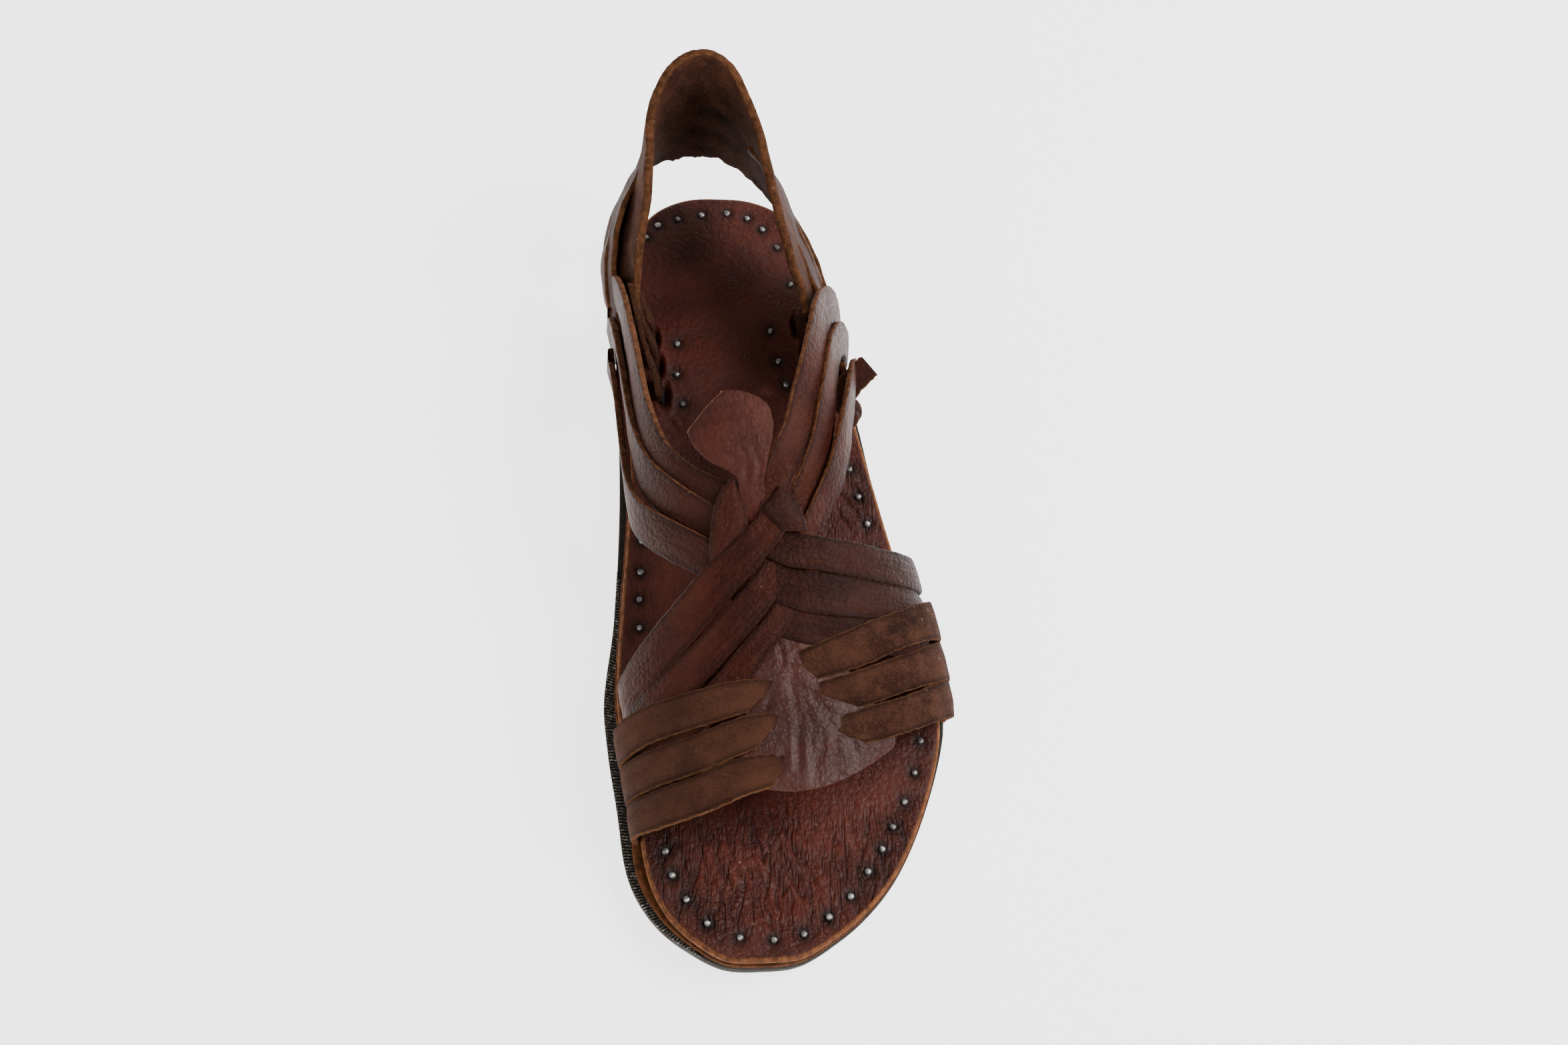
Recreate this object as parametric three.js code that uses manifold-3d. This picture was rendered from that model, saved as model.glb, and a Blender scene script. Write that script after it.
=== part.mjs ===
// A hand-woven leather huarache sandal for the left foot, in millimetres.
//
// "along" runs from the back of the heel (0) to the tip of the toes (LENGTH).
// X grows to the outer (lateral) side and Z up. "girth" runs round the foot from the
// inner edge of the sole (-1) over the instep to its outer edge (+1), and past 1 straight
// down beside the sole. "lift" is the clearance from the foot's own surface.
import * as THREE from 'three';
import { mergeVertices } from 'three/addons/utils/BufferGeometryUtils.js';
import Module from 'manifold-3d';

const wasm = await Module();
wasm.setup();

// ---- driving dimensions -------------------------------------------------------------

const LENGTH = 280;
const OUTSOLE = 8;
const MIDSOLE = 4;
const FOOTBED = 3;
const STACK = OUTSOLE + MIDSOLE + FOOTBED;
const HEEL_RISE = 8;
const HEEL_FLAT_END = 70;
const RAMP_END = 160;
const LIFT_FRONT = 132;
const TOE_SPRING = 5;
const TOE_SPRING_START = 205;
const SPRING_RUN = LENGTH - TOE_SPRING_START;
const LEATHER = 2.2;
const GAP = 0.3;
const SLOT_CLEARANCE = 0.9;
const EDGE_CLEARANCE = 0.5;
const DROP = 40;
const SOLE_STATIONS = 36;
const SIMPLIFY = 0.03;
const WOVEN = { steps: 1 };
const SLOT_WIDTH = 5.4;

// Footbed outline, a row for each station, with its inner and outer edge.
const OUTLINE = [
  { along: 0, inner: -3, outer: 3 },
  { along: 8, inner: -24.5, outer: 25 },
  { along: 20, inner: -31, outer: 31.5 },
  { along: 40, inner: -34.5, outer: 35.5 },
  { along: 70, inner: -34.5, outer: 40 },
  { along: 100, inner: -34, outer: 46 },
  { along: 130, inner: -34.5, outer: 52.5 },
  { along: 165, inner: -37, outer: 60.3 },
  { along: 195, inner: -38.6, outer: 65.6 },
  { along: 210, inner: -36.6, outer: 65.6 },
  { along: 232, inner: -33, outer: 58.8 },
  { along: 253, inner: -30, outer: 48 },
  { along: 266, inner: -23.5, outer: 36.6 },
  { along: 275, inner: -13.5, outer: 24 },
  { along: 280, inner: -2, outer: 11 },
];

// How far the tyre rubber stands out beyond the leather on each side.
const FLARE = [
  { along: 0, inner: 0, outer: 0 },
  { along: 40, inner: 2.4, outer: 2 },
  { along: 90, inner: 2.9, outer: 2.4 },
  { along: 130, inner: 2.4, outer: 1 },
  { along: 165, inner: 1.6, outer: 2 },
  { along: 195, inner: 2.4, outer: 2.8 },
  { along: 215, inner: 3.4, outer: 1.2 },
  { along: 240, inner: 3, outer: 0.6 },
  { along: 280, inner: 0.5, outer: 0.5 },
];

// The foot's shape over the bed: height of the ridge, its place across, and how full the
// section is on the inner and on the outer side (2 is an ellipse).
const SECTIONS = [
  { along: 40, rise: 62, ridge: -4, innerFull: 2.7, outerFull: 1.5 },
  { along: 70, rise: 61, ridge: -3, innerFull: 2.7, outerFull: 1.5 },
  { along: 100, rise: 58, ridge: -1, innerFull: 2.6, outerFull: 1.7 },
  { along: 130, rise: 52, ridge: 2, innerFull: 2.4, outerFull: 2 },
  { along: 160, rise: 45, ridge: 6, innerFull: 2.15, outerFull: 2.15 },
  { along: 190, rise: 37, ridge: 9, innerFull: 2.05, outerFull: 2.05 },
  { along: 215, rise: 30.5, ridge: 11, innerFull: 2, outerFull: 2 },
  { along: 245, rise: 25, ridge: 11, innerFull: 2, outerFull: 2 },
];

// ---- straps: [along, girth, width, lift] for each row -------------------------------

// Three straps from the inner side of the heel, over the instep, to the outer toe joint.
const INNER_TO_OUTER = [
  [[50, -1.1, 12, 2.4], [53, -0.98, 12, 2.4], [60, -0.88, 12, 2], [72, -0.8, 12, 1.6],
    [90, -0.73, 12, 0.8], [112, -0.65, 12.5, 0], [128, -0.53, 12.5, 0], [140, -0.38, 12, 0],
    [149, -0.18, 12, 0], [157, 0, 12, 0], [163, 0.18, 12.5, 1], [164, 0.38, 12.5, 1.2],
    [162, 0.6, 12, 1], [160, 0.78, 11, 0], [159, 0.92, 10, -4], [159, 1.06, 10, -6]],
  [[64, -1.1, 12, 2.4], [67, -0.98, 12, 2.4], [84, -0.88, 12, 1.6], [104, -0.82, 12, 0.6],
    [120, -0.75, 12, 0], [134, -0.63, 12, 0], [146, -0.46, 12, 0], [156, -0.27, 11.5, 0],
    [166, -0.1, 11, 0], [174, 0.03, 11, 0.6], [177, 0.18, 11, 0.8], [177, 0.36, 11, 0.8],
    [175, 0.6, 11, 0.4], [174, 0.8, 10, -1], [173, 0.92, 10, -4], [173, 1.06, 10, -6]],
  [[80, -1.1, 12, 2.4], [84, -0.98, 12, 2.4], [100, -0.92, 12, 1.4], [118, -0.88, 12, 0.4],
    [134, -0.8, 12, 0], [147, -0.66, 12, 0], [158, -0.46, 12, 0], [167, -0.28, 11, 0],
    [176, -0.12, 10, 0], [185, 0, 10, 0], [187, 0.14, 10, 0.3], [188, 0.32, 10, 0.3],
    [188, 0.6, 10, 0], [187, 0.8, 10, -2], [187, 0.92, 10, -4], [187, 1.06, 10, -6]],
];

// Three straps from the outer side of the heel, over the first three, to the inner toe joint.
const OUTER_TO_INNER = [
  [[58, 1.08, 13, 1], [58, 0.95, 13, 1], [60, 0.8, 13, 1], [65, 0.62, 13, 1.2],
    [75, 0.46, 12, 1.4], [88, 0.35, 12, 1.6], [103, 0.25, 12, 2], [117, 0.165, 12, 2.2],
    [128, 0.11, 12, 2.4], [137, 0.04, 12, 2.8], [146, -0.02, 11, 3.2], [156, -0.03, 10, 3.4],
    [164, -0.13, 13, 3.2], [173, -0.26, 14, 2.6], [184, -0.42, 14, 2.2], [194, -0.58, 14, 1.2],
    [201, -0.76, 13, -1], [203, -0.9, 11, -4], [203, -1.06, 10.5, -6]],
  [[71, 1.08, 11, 1], [71, 0.95, 11, 1], [73, 0.8, 11, 1], [79, 0.62, 11, 1],
    [91, 0.46, 10.5, 1.2], [105, 0.355, 10, 1.4], [118, 0.28, 10, 1.6], [130, 0.22, 10, 1.8],
    [141, 0.15, 9.5, 2], [154, 0.06, 9, 2.2], [167, 0.01, 11, 2.2], [177, -0.1, 13, 1.8],
    [188, -0.25, 13, 1.6], [199, -0.41, 13, 1], [208, -0.58, 13, 0.4], [214, -0.76, 12, -1.4],
    [216, -0.9, 11, -4], [216, -1.06, 10.5, -6]],
  [[84, 1.08, 11, 1], [84, 0.95, 11, 1], [86, 0.82, 11, 1], [92, 0.67, 11, 0.8],
    [104, 0.53, 10.5, 1], [118, 0.41, 10.5, 1.2], [130, 0.33, 10, 1.4], [141, 0.26, 10, 1.6],
    [151, 0.18, 9.5, 1.6], [161, 0.1, 9, 1.6], [172, 0.03, 9, 1.4], [183, -0.02, 11, 1],
    [194, -0.14, 12, 0.8], [205, -0.3, 12, 0.4], [216, -0.5, 12, 0], [224, -0.7, 12, -1.4],
    [229, -0.88, 11, -4], [229, -1.06, 10.5, -6]],
];

// The same six straps come back over the edges of the sole with the flesh side out.
const OUTER_RETURNS = [
  [[172, 1.15, 12.5, 0], [173, 1, 12.5, 0], [175, 0.86, 12.5, 1.4], [180, 0.64, 13, 3],
    [187, 0.4, 13, 3.4], [194, 0.2, 11.5, 3.2], [199, 0.1, 8, 2.2]],
  [[185, 1.15, 12.5, 0], [186, 1, 12.5, 0], [188, 0.86, 12.5, 1.2], [192, 0.68, 12.5, 2.2],
    [199, 0.43, 12.5, 2.6], [206, 0.24, 11, 2.4], [211, 0.11, 7, 1.6]],
  [[197, 1.15, 11.5, 0], [198, 1, 11.5, 0], [200, 0.86, 11.5, 1], [204, 0.67, 12, 1.8],
    [210, 0.47, 12, 2.2], [216, 0.31, 10.5, 2.2], [220, 0.19, 7, 1.6]],
];
const INNER_RETURNS = [
  [[214, -1.15, 12.5, 0], [214, -1, 12.5, 0], [214, -0.84, 12.5, 1.2], [212, -0.62, 13, 3],
    [210, -0.38, 13, 3.4], [208, -0.2, 12.5, 3], [206, -0.06, 8, 2]],
  [[226, -1.15, 12, 0], [226, -1, 12, 0], [226, -0.84, 12, 1], [225, -0.62, 12.5, 2.2],
    [223, -0.38, 12.5, 2.8], [220, -0.18, 12, 2.8], [217, -0.02, 8, 1.8]],
  [[237, -1.15, 11, 0], [237, -1, 11, 0], [237, -0.84, 11.5, 0.8], [237, -0.62, 12, 1.6],
    [235, -0.38, 12.5, 2.2], [232, -0.2, 12, 2.4], [229, -0.06, 9, 1.6]],
];

// The middle piece: a rounded tab at the throat, a narrow neck, and a fan over the toes.
const MIDDLE_TAB = [
  [117, -0.1, 10, 4.2], [121, -0.13, 19, 4.4], [127, -0.16, 25, 4.6], [133, -0.17, 23, 4.6],
  [139, -0.13, 13, 4.6], [145, -0.09, 9, 4.8], [153, -0.08, 7.5, 5], [160, -0.06, 7, 3],
  [172, -0.03, 9, 0], [186, 0, 12, -0.5],
];
const MIDDLE_FAN = [
  [184, 0, 12, -0.5], [194, 0.01, 22, 0.2], [203, 0.02, 34, 0.8], [211, 0.04, 44, 1],
  [219, 0.05, 50, 1], [225, 0.04, 47, 1], [230, 0.01, 38, 1], [234, -0.02, 26, 1], [237, -0.04, 12, 1],
];
const LEAF = [
  [143, -0.12, 2.5, 3.6], [149, -0.17, 9, 4], [156, -0.21, 11, 4.2], [162, -0.25, 8, 4],
  [167, -0.28, 2.5, 3],
];
const KEEPER = [
  [146, -0.03, 10, 5], [151, 0.03, 12, 5.4], [156, 0.08, 12, 5.2], [161, 0.11, 9, 3.8],
];

// Strips that tie the heel band down into the footbed on each side.
const HEEL_STRIPS = [
  [[50, -0.86, 10, -1.5], [57, -0.92, 9.5, -6], [62, -0.98, 8, -10.5], [62.5, -1.04, 7.4, -11]],
  [[55, -0.86, 10, -1.5], [66, -0.92, 9.5, -6.5], [73, -0.98, 8, -11.5], [73.5, -1.04, 7.4, -12]],
  [[60, -0.84, 10, -1], [75, -0.9, 9.5, -6], [85, -0.98, 8, -12], [85.5, -1.04, 7.4, -12.5]],
  [[50, 0.66, 10, -4], [55, 0.79, 9, -9], [58, 0.9, 8, -12], [58.2, 1.05, 7.4, -12.6]],
  [[59, 0.64, 10, -3.5], [66, 0.78, 9, -9], [70, 0.89, 8, -12], [70.2, 1.05, 7.4, -12.6]],
  [[67, 0.6, 10, -3], [77, 0.77, 9, -9], [82, 0.88, 8, -12.2], [82.2, 1.05, 7.4, -12.8]],
];

// Heel band: its lower and its upper edge as [x, along, z], from the inner to the outer side.
const HEEL_BAND = [
  { low: [-36, 56, 34], high: [-30, 68, 44] },
  { low: [-36.5, 42, 39], high: [-28.5, 52, 58] },
  { low: [-35, 27, 42.5], high: [-26, 37, 66] },
  { low: [-30.5, 14, 45], high: [-25, 23, 73] },
  { low: [-24, 6, 46], high: [-25, 13, 81] },
  { low: [-16, 2, 45.5], high: [-20, 4.5, 91] },
  { low: [-9, 0.5, 45], high: [-12, 0, 95] },
  { low: [-2, 2, 45.5], high: [-3.5, 1.5, 94] },
  { low: [6, 8, 46], high: [2.5, 7, 88] },
  { low: [13.5, 17, 46], high: [8, 19, 80] },
  { low: [22, 30, 44], high: [12.5, 38, 72] },
  { low: [28.5, 46, 40], high: [18, 58, 64] },
  { low: [32, 60, 35], high: [24, 74, 54] },
];
const BAND = { wall: 3.2, steps: 2, cells: 3 };

// Nails through the footbed, [x, along]: round the heel, at the waist, along both edges
// and round the toes.
const NAILS = [
  [-26.9, 19.5], [-22.5, 14], [-15.2, 11], [-6.4, 9], [3, 8], [10.5, 10], [16, 15], [21, 23],
  [25, 39.5],
  [-16.5, 66], [-17, 78.5], [-15, 90], [16.8, 60], [19, 72.7], [21.3, 82],
  [42, 114], [44.5, 124], [47, 134], [49, 144], [-29.5, 140], [-30, 151], [-30.5, 161], [-30.5, 171],
  [58.5, 211], [55.5, 221.5], [51.5, 231], [47, 239], [43, 246], [38, 253], [32, 260.5], [25, 266.5],
  [17, 271.5], [8, 273], [-2, 272], [-11.5, 267.5], [-17.5, 260], [-21.5, 252.5], [-23.5, 245],
];
const NAIL = { radius: 1.3, proud: 0.7, sides: 6 };

// The tied end of the outer straps: a short tab between two points, and the knot below it.
const THONG = { from: [34, 102, 42], to: [46.5, 90.5, 48.5], width: 8, thick: 2.4 };
const KNOT = { at: [39.5, 104, 40], size: [3.6, 5, 4.6], segments: [10, 7] };

const COLOURS = {
  outsole: { color: 0x1d1b1a, roughness: 0.85, metalness: 0 },
  heel_lift: { color: 0x191817, roughness: 0.88, metalness: 0 },
  midsole: { color: 0x8a5630, roughness: 0.75, metalness: 0 },
  footbed: { color: 0x4a241b, roughness: 0.5, metalness: 0 },
  upper: { color: 0x50291e, roughness: 0.48, metalness: 0 },
  nail: { color: 0x8f8c88, roughness: 0.4, metalness: 1 },
};

// ---- curves through tables ----------------------------------------------------------

const smooth = (t) => THREE.MathUtils.smoothstep(t, 0, 1);

// A smooth cubic through value(row) at position(row); slopes come from the neighbours.
function through(rows, position, value) {
  const xs = rows.map(position);
  const ys = rows.map(value);
  const last = rows.length - 1;
  const slope = (i) => {
    const a = Math.max(i - 1, 0);
    const b = Math.min(i + 1, last);
    return (ys[b] - ys[a]) / (xs[b] - xs[a]);
  };
  return (x) => {
    let i = 0;
    while (i < last - 1 && x > xs[i + 1]) i += 1;
    const h = xs[i + 1] - xs[i];
    const t = THREE.MathUtils.clamp((x - xs[i]) / h, -0.6, 1.6);
    const rise = 3 * t * t - 2 * t * t * t;
    const start = (t * t * t - 2 * t * t + t) * h * slope(i);
    const end = (t * t * t - t * t) * h * slope(i + 1);
    return ys[i] * (1 - rise) + ys[i + 1] * rise + start + end;
  };
}

// Near the round ends an edge moves with the angle of this turn, not with the distance.
const turn = (along) => Math.acos(1 - 2 * THREE.MathUtils.clamp(along, 0, LENGTH) / LENGTH);
const innerAt = through(OUTLINE, (r) => turn(r.along), (r) => r.inner);
const outerAt = through(OUTLINE, (r) => turn(r.along), (r) => r.outer);
const inner = (along) => innerAt(turn(along));
const outer = (along) => outerAt(turn(along));
const innerFlare = through(FLARE, (r) => r.along, (r) => r.inner);
const outerFlare = through(FLARE, (r) => r.along, (r) => r.outer);
const rise = through(SECTIONS, (r) => r.along, (r) => r.rise);
const ridge = through(SECTIONS, (r) => r.along, (r) => r.ridge);
const innerFull = through(SECTIONS, (r) => r.along, (r) => r.innerFull);
const outerFull = through(SECTIONS, (r) => r.along, (r) => r.outerFull);

// Height of the footbed's top face: heel flat, ramp, forefoot flat, toe spring.
function bed(along) {
  const ramp = 1 - smooth((along - HEEL_FLAT_END) / (RAMP_END - HEEL_FLAT_END));
  const spring = Math.max(0, (along - TOE_SPRING_START) / SPRING_RUN);
  return STACK + HEEL_RISE * ramp + TOE_SPRING * spring * spring;
}

// The foot's surface: a superellipse over each cross-section of the bed.
function foot(along, girth) {
  const left = inner(along) - EDGE_CLEARANCE;
  const right = outer(along) + EDGE_CLEARANCE;
  const g = THREE.MathUtils.clamp(girth, -1, 1);
  const x = (left + right) / 2 + (right - left) / 2 * Math.sin(g * Math.PI / 2);
  const top = ridge(along);
  const v = x < top ? (x - top) / (left - top) : (x - top) / (right - top);
  const n = x < top ? innerFull(along) : outerFull(along);
  const height = rise(along) * Math.max(0, 1 - Math.abs(v) ** n) ** (1 / n);
  const drop = Math.max(0, Math.abs(girth) - 1) * DROP;
  return new THREE.Vector3(x, -along, bed(along) + height - drop);
}

// Derivatives of the foot's surface by along and by girth, and its outward normal.
function footFrame(along, girth) {
  const step = 0.004;
  const byAlong = foot(along + 0.5, girth).sub(foot(along - 0.5, girth));
  const byGirth = foot(along, girth + step).sub(foot(along, girth - step)).divideScalar(2 * step);
  const normal = byAlong.clone().cross(byGirth).normalize();
  return { byAlong, byGirth, normal };
}

function above(along, girth, lift) {
  return foot(along, girth).addScaledVector(footFrame(along, girth).normal, lift);
}

// ---- closed sheets ------------------------------------------------------------------

// A closed sheet between two grids of points, face(u, v) for the back and the front.
function sheet(rows, columns, back, front) {
  const positions = [];
  const index = [];
  const across = columns + 1;
  const layer = (rows + 1) * across;
  for (const face of [back, front]) {
    for (let i = 0; i <= rows; i += 1) {
      for (let j = 0; j <= columns; j += 1) positions.push(...face(i, j).toArray());
    }
  }
  const quad = (a, b, c, d) => index.push(a, b, c, a, c, d);
  const at = (i, j) => i * across + j;
  for (let i = 0; i < rows; i += 1) {
    for (let j = 0; j < columns; j += 1) {
      quad(at(i, j), at(i + 1, j), at(i + 1, j + 1), at(i, j + 1));
      quad(layer + at(i, j), layer + at(i, j + 1), layer + at(i + 1, j + 1), layer + at(i + 1, j));
    }
    quad(at(i, 0), layer + at(i, 0), layer + at(i + 1, 0), at(i + 1, 0));
    quad(at(i, columns), at(i + 1, columns), layer + at(i + 1, columns), layer + at(i, columns));
  }
  for (let j = 0; j < columns; j += 1) {
    quad(at(0, j), at(0, j + 1), layer + at(0, j + 1), layer + at(0, j));
    quad(at(rows, j), layer + at(rows, j), layer + at(rows, j + 1), at(rows, j + 1));
  }
  const geometry = new THREE.BufferGeometry();
  geometry.setAttribute('position', new THREE.Float32BufferAttribute(positions, 3));
  geometry.setIndex(index);
  return outward(geometry);
}

// Turns the triangles round when the closed surface faces inwards.
function outward(geometry) {
  const p = geometry.attributes.position;
  const index = geometry.index.array;
  const [a, b, c] = [new THREE.Vector3(), new THREE.Vector3(), new THREE.Vector3()];
  let volume = 0;
  for (let i = 0; i < index.length; i += 3) {
    a.fromBufferAttribute(p, index[i]);
    b.fromBufferAttribute(p, index[i + 1]);
    c.fromBufferAttribute(p, index[i + 2]);
    volume += a.dot(b.cross(c));
  }
  if (volume < 0) index.reverse();
  return geometry;
}

function solid(geometry) {
  const bare = geometry.clone();
  bare.deleteAttribute('normal');
  bare.deleteAttribute('uv');
  const merged = mergeVertices(bare, 1e-4);
  const vertProperties = new Float32Array(merged.attributes.position.array);
  const triVerts = new Uint32Array(merged.index.array);
  return new wasm.Manifold(new wasm.Mesh({ numProp: 3, vertProperties, triVerts }));
}

function geometryOf(manifold) {
  const mesh = manifold.getMesh();
  const geometry = new THREE.BufferGeometry();
  geometry.setAttribute('position', new THREE.Float32BufferAttribute(mesh.vertProperties, 3));
  geometry.setIndex(new THREE.Uint32BufferAttribute(mesh.triVerts, 1));
  return geometry;
}

const joined = (solids) => solids.reduce((all, next) => all.add(next));
const cut = (body, tools) => tools.reduce((rest, tool) => rest.subtract(tool), body);

// ---- straps -------------------------------------------------------------------------

// Values of a strap at u rows along it, on a Catmull-Rom curve through its rows.
function strapAt(rows, u) {
  const i = Math.min(Math.floor(u), rows.length - 2);
  const t = u - i;
  const pick = (k) => rows[THREE.MathUtils.clamp(i + k, 0, rows.length - 1)];
  const [a, b, c, d] = [pick(-1), pick(0), pick(1), pick(2)];
  const blend = (n) => b[n] + 0.5 * t * (c[n] - a[n]
    + t * (2 * a[n] - 5 * b[n] + 4 * c[n] - d[n] + t * (3 * (b[n] - c[n]) + d[n] - a[n])));
  return { along: blend(0), girth: blend(1), width: blend(2), lift: blend(3) };
}

// The step in along and girth that moves one millimetre across a strap on the foot.
function acrossStep(rows, u) {
  const here = strapAt(rows, u);
  const before = strapAt(rows, Math.max(u - 0.05, 0));
  const after = strapAt(rows, Math.min(u + 0.05, rows.length - 1));
  const heading = foot(after.along, after.girth).sub(foot(before.along, before.girth)).normalize();
  const { byAlong, byGirth, normal } = footFrame(here.along, here.girth);
  const side = normal.clone().cross(heading).normalize();
  const [aa, ag, gg] = [byAlong.dot(byAlong), byAlong.dot(byGirth), byGirth.dot(byGirth)];
  const [sa, sg] = [side.dot(byAlong), side.dot(byGirth)];
  const scale = 1 / (aa * gg - ag * ag);
  return { along: (sa * gg - sg * ag) * scale, girth: (sg * aa - sa * ag) * scale };
}

// A strap that hugs the foot, a grid of cells across it and steps between its rows.
function strap(rows, { cells = 2, steps = 2 } = {}) {
  const face = (extra) => (i, j) => {
    const u = i / steps;
    const row = strapAt(rows, u);
    const step = acrossStep(rows, u);
    const offset = row.width * (j / cells - 0.5);
    return above(row.along + step.along * offset, row.girth + step.girth * offset, row.lift + extra);
  };
  return solid(sheet((rows.length - 1) * steps, cells, face(0), face(LEATHER)));
}

// ---- sole ---------------------------------------------------------------------------

// A plate of the sole between two heights, from one station to another.
function plate({ from = 0, to = LENGTH, left, right, low, high, stations = SOLE_STATIONS }) {
  const span = turn(to) - turn(from);
  const place = (i) => LENGTH * (1 - Math.cos(turn(from) + span * i / stations)) / 2;
  const face = (height) => (i, j) => {
    const along = place(i);
    return new THREE.Vector3(j ? right(along) : left(along), -along, height(along));
  };
  return sheet(stations, 1, face(low), face(high));
}

const outsoleTop = (along) => bed(along) - FOOTBED - MIDSOLE;
const outsoleBottom = (along) => bed(along) - STACK;
const midsoleTop = (along) => bed(along) - FOOTBED;

// The slot that a strap's last row goes down through, set a little inwards of its end.
function slot(rows) {
  const [along, girth, width, lift] = rows.at(-1);
  const end = above(along, girth, lift + LEATHER / 2);
  const shape = new THREE.BoxGeometry(SLOT_WIDTH, width + 2 * SLOT_CLEARANCE, 4 * FOOTBED);
  return solid(shape.translate(end.x, end.y, end.z));
}

function footbed() {
  const body = solid(plate({ left: inner, right: outer, low: (a) => midsoleTop(a) + GAP, high: bed }));
  const slots = [...INNER_TO_OUTER, ...OUTER_TO_INNER, ...HEEL_STRIPS].map(slot);
  const holes = NAILS.map(([x, along]) => nailSolid(x, along, NAIL.radius + GAP, 2));
  return cut(body, [...slots, ...holes]).simplify(SIMPLIFY);
}

const midsole = () => solid(plate({
  left: inner, right: outer, low: (a) => outsoleTop(a) + GAP, high: midsoleTop,
}));

// Tread: long grooves that wander from side to side, and straight bars cut across them.
const GROOVE = {
  width: 3.4,
  depth: 2.6,
  wander: 2.2,
  pitch: 22,
  places: [0.26, 0.5, 0.74],
  from: 168,
  to: 262,
  stations: 18,
};
const BARS = { width: 3, depth: 2.6, pitch: 14, from: 172, to: 252, length: 20, reach: 8 };
const LIFT = { stations: 22, bars: [30, 52, 74, 96], barLength: 120 };

function groove(place) {
  const middle = (a) => inner(a) + (outer(a) - inner(a)) * place
    + GROOVE.wander * Math.sin(a * 2 * Math.PI / GROOVE.pitch);
  return solid(plate({
    from: GROOVE.from,
    to: GROOVE.to,
    left: (a) => middle(a) - GROOVE.width / 2,
    right: (a) => middle(a) + GROOVE.width / 2,
    low: (a) => outsoleBottom(a) - 1,
    high: (a) => outsoleBottom(a) + GROOVE.depth,
    stations: GROOVE.stations,
  }));
}

// A bar reaches in from one edge of the sole and runs out beyond it.
function bar(along, side) {
  const shape = new THREE.BoxGeometry(BARS.length, BARS.width, 2 * BARS.depth);
  const edge = side < 0 ? inner(along) : outer(along);
  shape.translate(edge + side * (BARS.length / 2 - BARS.reach), -along, outsoleBottom(along));
  return solid(shape);
}

function outsole() {
  const body = solid(plate({
    left: (a) => inner(a) - innerFlare(a),
    right: (a) => outer(a) + outerFlare(a),
    low: outsoleBottom,
    high: outsoleTop,
  }));
  const tools = GROOVE.places.map(groove);
  for (let along = BARS.from; along < BARS.to; along += BARS.pitch) {
    tools.push(bar(along, -1), bar(along, 1));
  }
  return cut(body, tools);
}

// The heel lift fills the wedge under the outsole and stands on the floor.
function heelLift() {
  const body = solid(plate({
    to: LIFT_FRONT,
    left: (a) => inner(a) - innerFlare(a),
    right: (a) => outer(a) + outerFlare(a),
    low: () => 0,
    high: (a) => outsoleBottom(a) - GAP,
    stations: LIFT.stations,
  }));
  const bars = LIFT.bars.map((along) => {
    const shape = new THREE.BoxGeometry(LIFT.barLength, BARS.width, 2 * BARS.depth);
    return solid(shape.translate(0, -along, 0));
  });
  return cut(body, bars);
}

// ---- nails --------------------------------------------------------------------------

// A nail's own solid in the footbed, or the hole for it when extra is given.
function nailSolid(x, along, radius, extra = 0) {
  const top = bed(along) + NAIL.proud + extra;
  const bottom = midsoleTop(along) + 2 * GAP - extra;
  const shape = new THREE.CylinderGeometry(radius, radius, top - bottom, NAIL.sides);
  shape.rotateX(Math.PI / 2).translate(x, -along, (top + bottom) / 2);
  return solid(shape);
}

// ---- upper --------------------------------------------------------------------------

// Heel band: a wall between its lower and upper edge, standing out by its thickness.
function heelBand() {
  const edge = (side, n) => through(HEEL_BAND, (r) => HEEL_BAND.indexOf(r), (r) => r[side][n]);
  const low = [0, 1, 2].map((n) => edge('low', n));
  const high = [0, 1, 2].map((n) => edge('high', n));
  const count = (HEEL_BAND.length - 1) * BAND.steps;
  const point = (u, v) => {
    const [x, along, z] = low.map((f, n) => THREE.MathUtils.lerp(f(u), high[n](u), v));
    return new THREE.Vector3(x, -along, z);
  };
  const out = (u, v) => {
    const ahead = point(u + 0.1, v).sub(point(u - 0.1, v));
    const up = point(u, 1).sub(point(u, 0));
    return up.cross(ahead).normalize();
  };
  const face = (wall) => (i, j) => {
    const [u, v] = [i / BAND.steps, j / BAND.cells];
    return point(u, v).addScaledVector(out(u, v), wall);
  };
  return solid(sheet(count, BAND.cells, face(0), face(BAND.wall)));
}

function sideThong() {
  const from = new THREE.Vector3(THONG.from[0], -THONG.from[1], THONG.from[2]);
  const to = new THREE.Vector3(THONG.to[0], -THONG.to[1], THONG.to[2]);
  const tab = new THREE.BoxGeometry(THONG.width, THONG.thick, from.distanceTo(to));
  const middle = from.clone().lerp(to, 0.5);
  const aim = new THREE.Matrix4().lookAt(to, from, new THREE.Vector3(0, 0, 1));
  tab.applyMatrix4(aim).translate(middle.x, middle.y, middle.z);
  const knot = new THREE.SphereGeometry(1, ...KNOT.segments).scale(...KNOT.size);
  knot.translate(KNOT.at[0], -KNOT.at[1], KNOT.at[2]);
  return solid(tab).add(solid(knot));
}

function upper() {
  const pieces = [...INNER_TO_OUTER, ...OUTER_TO_INNER].map((rows) => strap(rows, WOVEN));
  pieces.push(...[...OUTER_RETURNS, ...INNER_RETURNS, ...HEEL_STRIPS].map((rows) => strap(rows)));
  pieces.push(strap(MIDDLE_TAB, { cells: 4 }), strap(MIDDLE_FAN, { cells: 6 }));
  pieces.push(strap(LEAF), strap(KEEPER), heelBand(), sideThong());
  return joined(pieces).simplify(SIMPLIFY);
}

// ---- assembly -----------------------------------------------------------------------

const sandal = new THREE.Group();

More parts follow.
